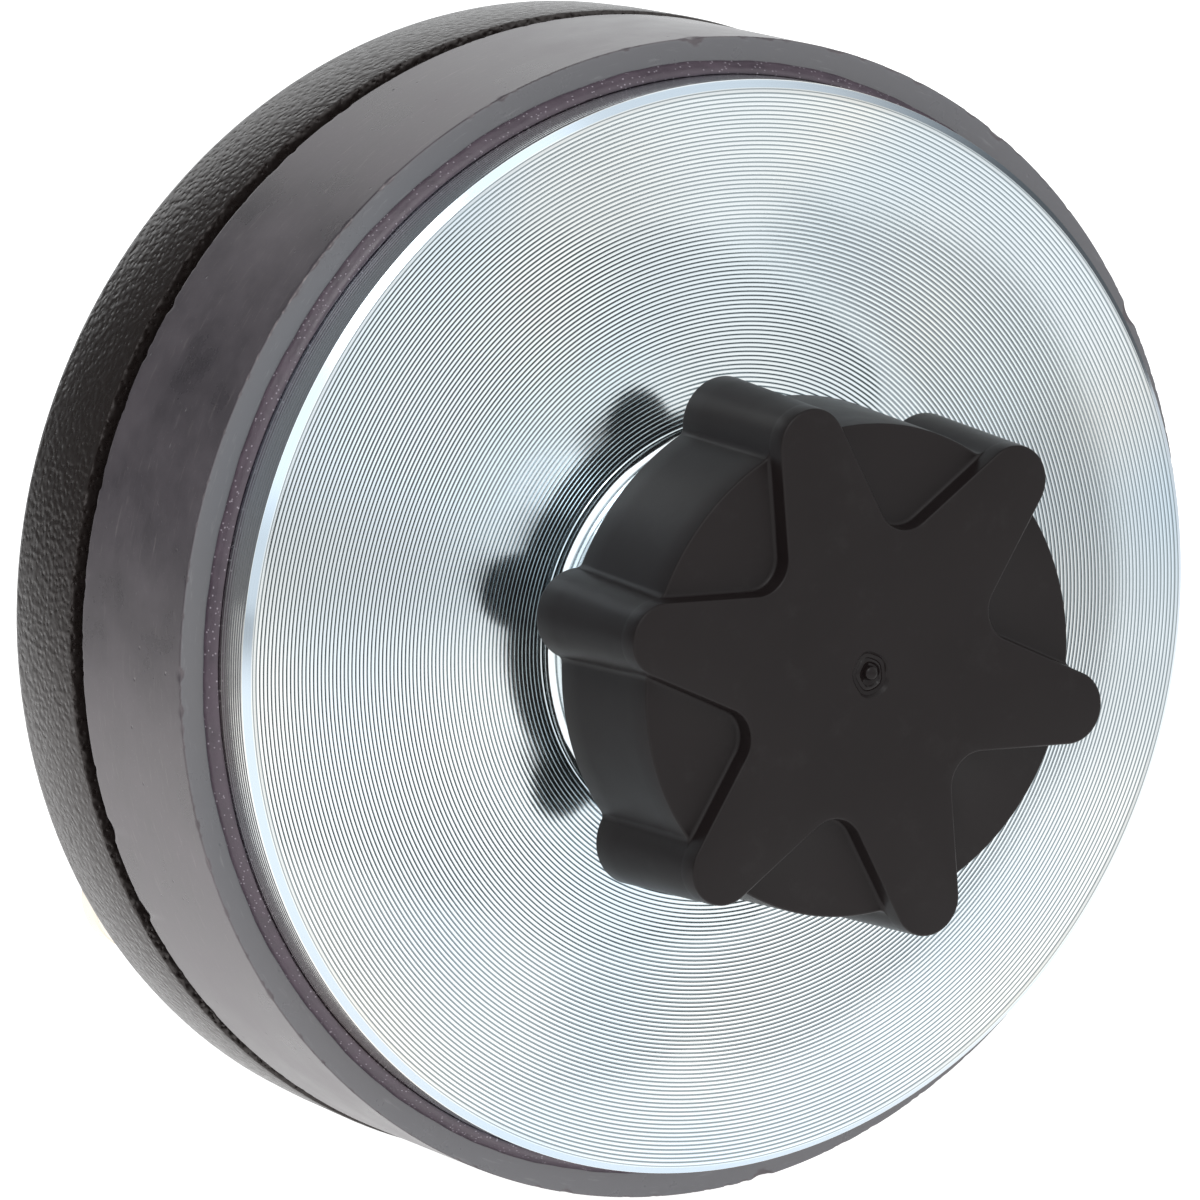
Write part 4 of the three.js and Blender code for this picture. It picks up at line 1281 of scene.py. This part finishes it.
def locating_pins(material):
    """Two ground pins in front of the plug's ring, each domed at its ends."""
    for k, angle in enumerate((0, 180), 1):
        low, high = span(f"locating_pin_{k}")
        box_low, box_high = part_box(f"locating_pin_{k}")
        radius = (box_high.x - box_low.x) / 2 / MM
        pin = turned(f"dowel_pin_{k}", rounded(band(0, radius, low, high), 0.35), SMALL_SIDES)
        settle(placed(pin, angle, abs(box_low.z + box_high.z) / 2 / MM), material, "driver",
               "steel", f"locating_pin_{k}")


def lead_wire(side, angle, materials):
    """An insulated lead, from the solder tab to the terminal strip on the diaphragm's ring."""
    sleeve, tin, slot = materials
    route = [(0, -3.6, -6.2), (0, -3.9, -7), (0.3, -3.9, -8.2), (0, -3.6, -9.6)]
    points = []
    for k in range(3):
        before, start = Vector(route[max(0, k - 1)]), Vector(route[k])
        end, after = Vector(route[k + 1]), Vector(route[min(3, k + 2)])
        for j in range(8 if k < 2 else 9):
            t = j / 8
            points.append(0.5 * (
                2 * start + (end - before) * t + (2 * before - 5 * start + 4 * end - after) * t * t
                + (3 * start - before - 3 * end + after) * t ** 3
            ))
    sides, wire_r = 14, 0.4
    ring = []
    for k, at in enumerate(points):
        along = (points[min(k + 1, len(points) - 1)] - points[max(k - 1, 0)]).normalized()
        across = along.cross(Vector((1, 0, 0))).normalized()
        other = along.cross(across)
        for j in range(sides):
            turn = 2 * math.pi * j / sides
            ring.append(at + (across * math.cos(turn) + other * math.sin(turn)) * wire_r)
    wire = piece(f"{side}_insulated_lead", ring, tube_faces(len(points) - 1, sides))
    settle(placed(wire, angle, TERMINAL_CIRCLE_R, SHOULDER), sleeve, "driver", slot,
           f"{side}_lead_wire")
    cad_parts[f"{side}_lead_tab"].data.materials.clear()
    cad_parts[f"{side}_lead_tab"].data.materials.append(tin)


# ---------------------------------------------------------------- floor, light and all pieces


def add_floor(material):
    """A pale floor that fills the view, just under the driver's lowest point."""
    level = CAD_BOX[0].z / MM - 0.02
    reach = 3000
    floor = piece("studio_floor", [
        (-reach, -reach, level), (reach, -reach, level), (reach, reach, level),
        (-reach, reach, level)], [(0, 1, 2, 3)])
    floor.data.materials.append(material)


def add_studio_walls(base, front, lobes):
    """The room by direction: a pale front, and soft lights in a darker rest. A lobe is its
    direction, its strength and how wide it is, in degrees."""
    world = bpy.data.worlds.new("studio")
    bpy.context.scene.world = world
    world.use_nodes = True
    tree = world.node_tree
    direction = tree.nodes.new("ShaderNodeTexCoord").outputs["Generated"]

    def eased_range(value, low, high, top):
        made = tree.nodes.new("ShaderNodeMapRange")
        made.interpolation_type = "SMOOTHSTEP"
        tree.links.new(value, made.inputs["Value"])
        for name, number in (("From Min", low), ("From Max", high), ("To Max", top)):
            made.inputs[name].default_value = number
        return made.outputs[0]

    def along(vector):
        made = tree.nodes.new("ShaderNodeVectorMath")
        made.operation = "DOT_PRODUCT"
        tree.links.new(direction, made.inputs[0])
        made.inputs[1].default_value = Vector(vector).normalized()
        return made.outputs["Value"]

    total = eased_range(along((0, -1, 0)), -0.2, 0.2, front)
    for vector, strength, width in [*lobes, ((0, 0, 1), base, 200)]:
        added = tree.nodes.new("ShaderNodeMath")
        edge = math.cos(math.radians(min(180, width)))
        lobe = eased_range(along(vector), edge - 0.01, edge + 0.4 * (1 - edge), strength)
        tree.links.new(total, added.inputs[0])
        tree.links.new(lobe, added.inputs[1])
        total = added.outputs[0]
    background = tree.nodes["Background"].inputs
    background["Color"].default_value = (0.97, 0.99, 1, 1)
    tree.links.new(total, background["Strength"])


def add_studio():
    bpy.context.scene.view_settings.view_transform = "Standard"
    add_floor(glowing_floor(bright=1.05, dim=0.24))
    back_right, upper_left = (0.42, 0.84, 0.33), (-0.43, -0.49, 0.756)
    add_studio_walls(base=0.15, front=1.0, lobes=[(back_right, 1.1, 34), (upper_left, 0.5, 40)])
    add_light("key_softbox", (-0.5, -0.57, 0.88), 0.45, 2)


def dress_driver():
    zinc, steel, ceramic, glue = zinc_steel(), plain_steel(), ferrite(), adhesive()
    black = satin_plastic("black_plastic", (0.018, 0.018, 0.019), (0.028, 0.028, 0.029), 0.36)
    red = satin_plastic("red_plastic", (0.42, 0.012, 0.010), (0.55, 0.022, 0.016), 0.33)
    ring = satin_plastic("ring_plastic", (0.035, 0.036, 0.040), (0.055, 0.056, 0.062), 0.5)
    plated = sheet_metal("terminal_metal", (0.72, 0.64, 0.54), (0.86, 0.79, 0.70), 0.24)
    black_steel = sheet_metal("black_steel", (0.05, 0.05, 0.052), (0.11, 0.11, 0.115), 0.4)
    titanium = sheet_metal("titanium", (0.52, 0.51, 0.50), (0.66, 0.65, 0.63), 0.3)
    aluminium = sheet_metal("aluminium", (0.78, 0.79, 0.80), (0.88, 0.89, 0.90), 0.3)
    copper = sheet_metal("copper", (0.70, 0.30, 0.15), (0.86, 0.42, 0.22), 0.28)
    open_foam, film, seal = foam(), polyimide(), rubber()

    back_plate(zinc)
    throat_snout(zinc)
    front_bead(glue)
    magnet_ring(ceramic)
    flat_ring("rear_glue_film", glue, "adhesive", "rear_adhesive", MAGNET_BORE_R + 1, 0.1)
    flat_ring("turned_top_plate", steel, "steel", "top_plate", AIR_GAP_R, 0.3)
    flat_ring("copper_pole_sleeve", copper, "copper", "pole_sleeve", POLE_R + 0.05, 0.08)
    flat_ring("diaphragm_carrier", aluminium, "aluminium", "diaphragm_ring", RING_BORE_R)
    flat_ring("diaphragm_clamp", ring, "ring_plastic", "clamp_ring", RING_BORE_R)
    flat_ring("cover_seal", seal, "rubber", "cover_gasket", 46, 0.1)
    locating_pins(steel)
    phase_plug(ring)
    diaphragm(titanium, film, copper)
    damping_foam(open_foam)
    rear_cover(cover_plastic())
    screws(black_steel, steel)
    for side, angle in TERMINALS.items():
        colour = red if side == "left" else black
        terminal(side, angle, (plated, colour, black, steel))
        solder_tab(side, angle, plated)
        lead_wire(side, angle, (colour, plated, f"{'red' if side == 'left' else 'black'}_plastic"))
    throat_screen(steel)
    screen_ring(black_steel)
    thread_cap(cap_plastic())
    cap_liner(open_foam)


add_camera()
add_studio()
dress_driver()
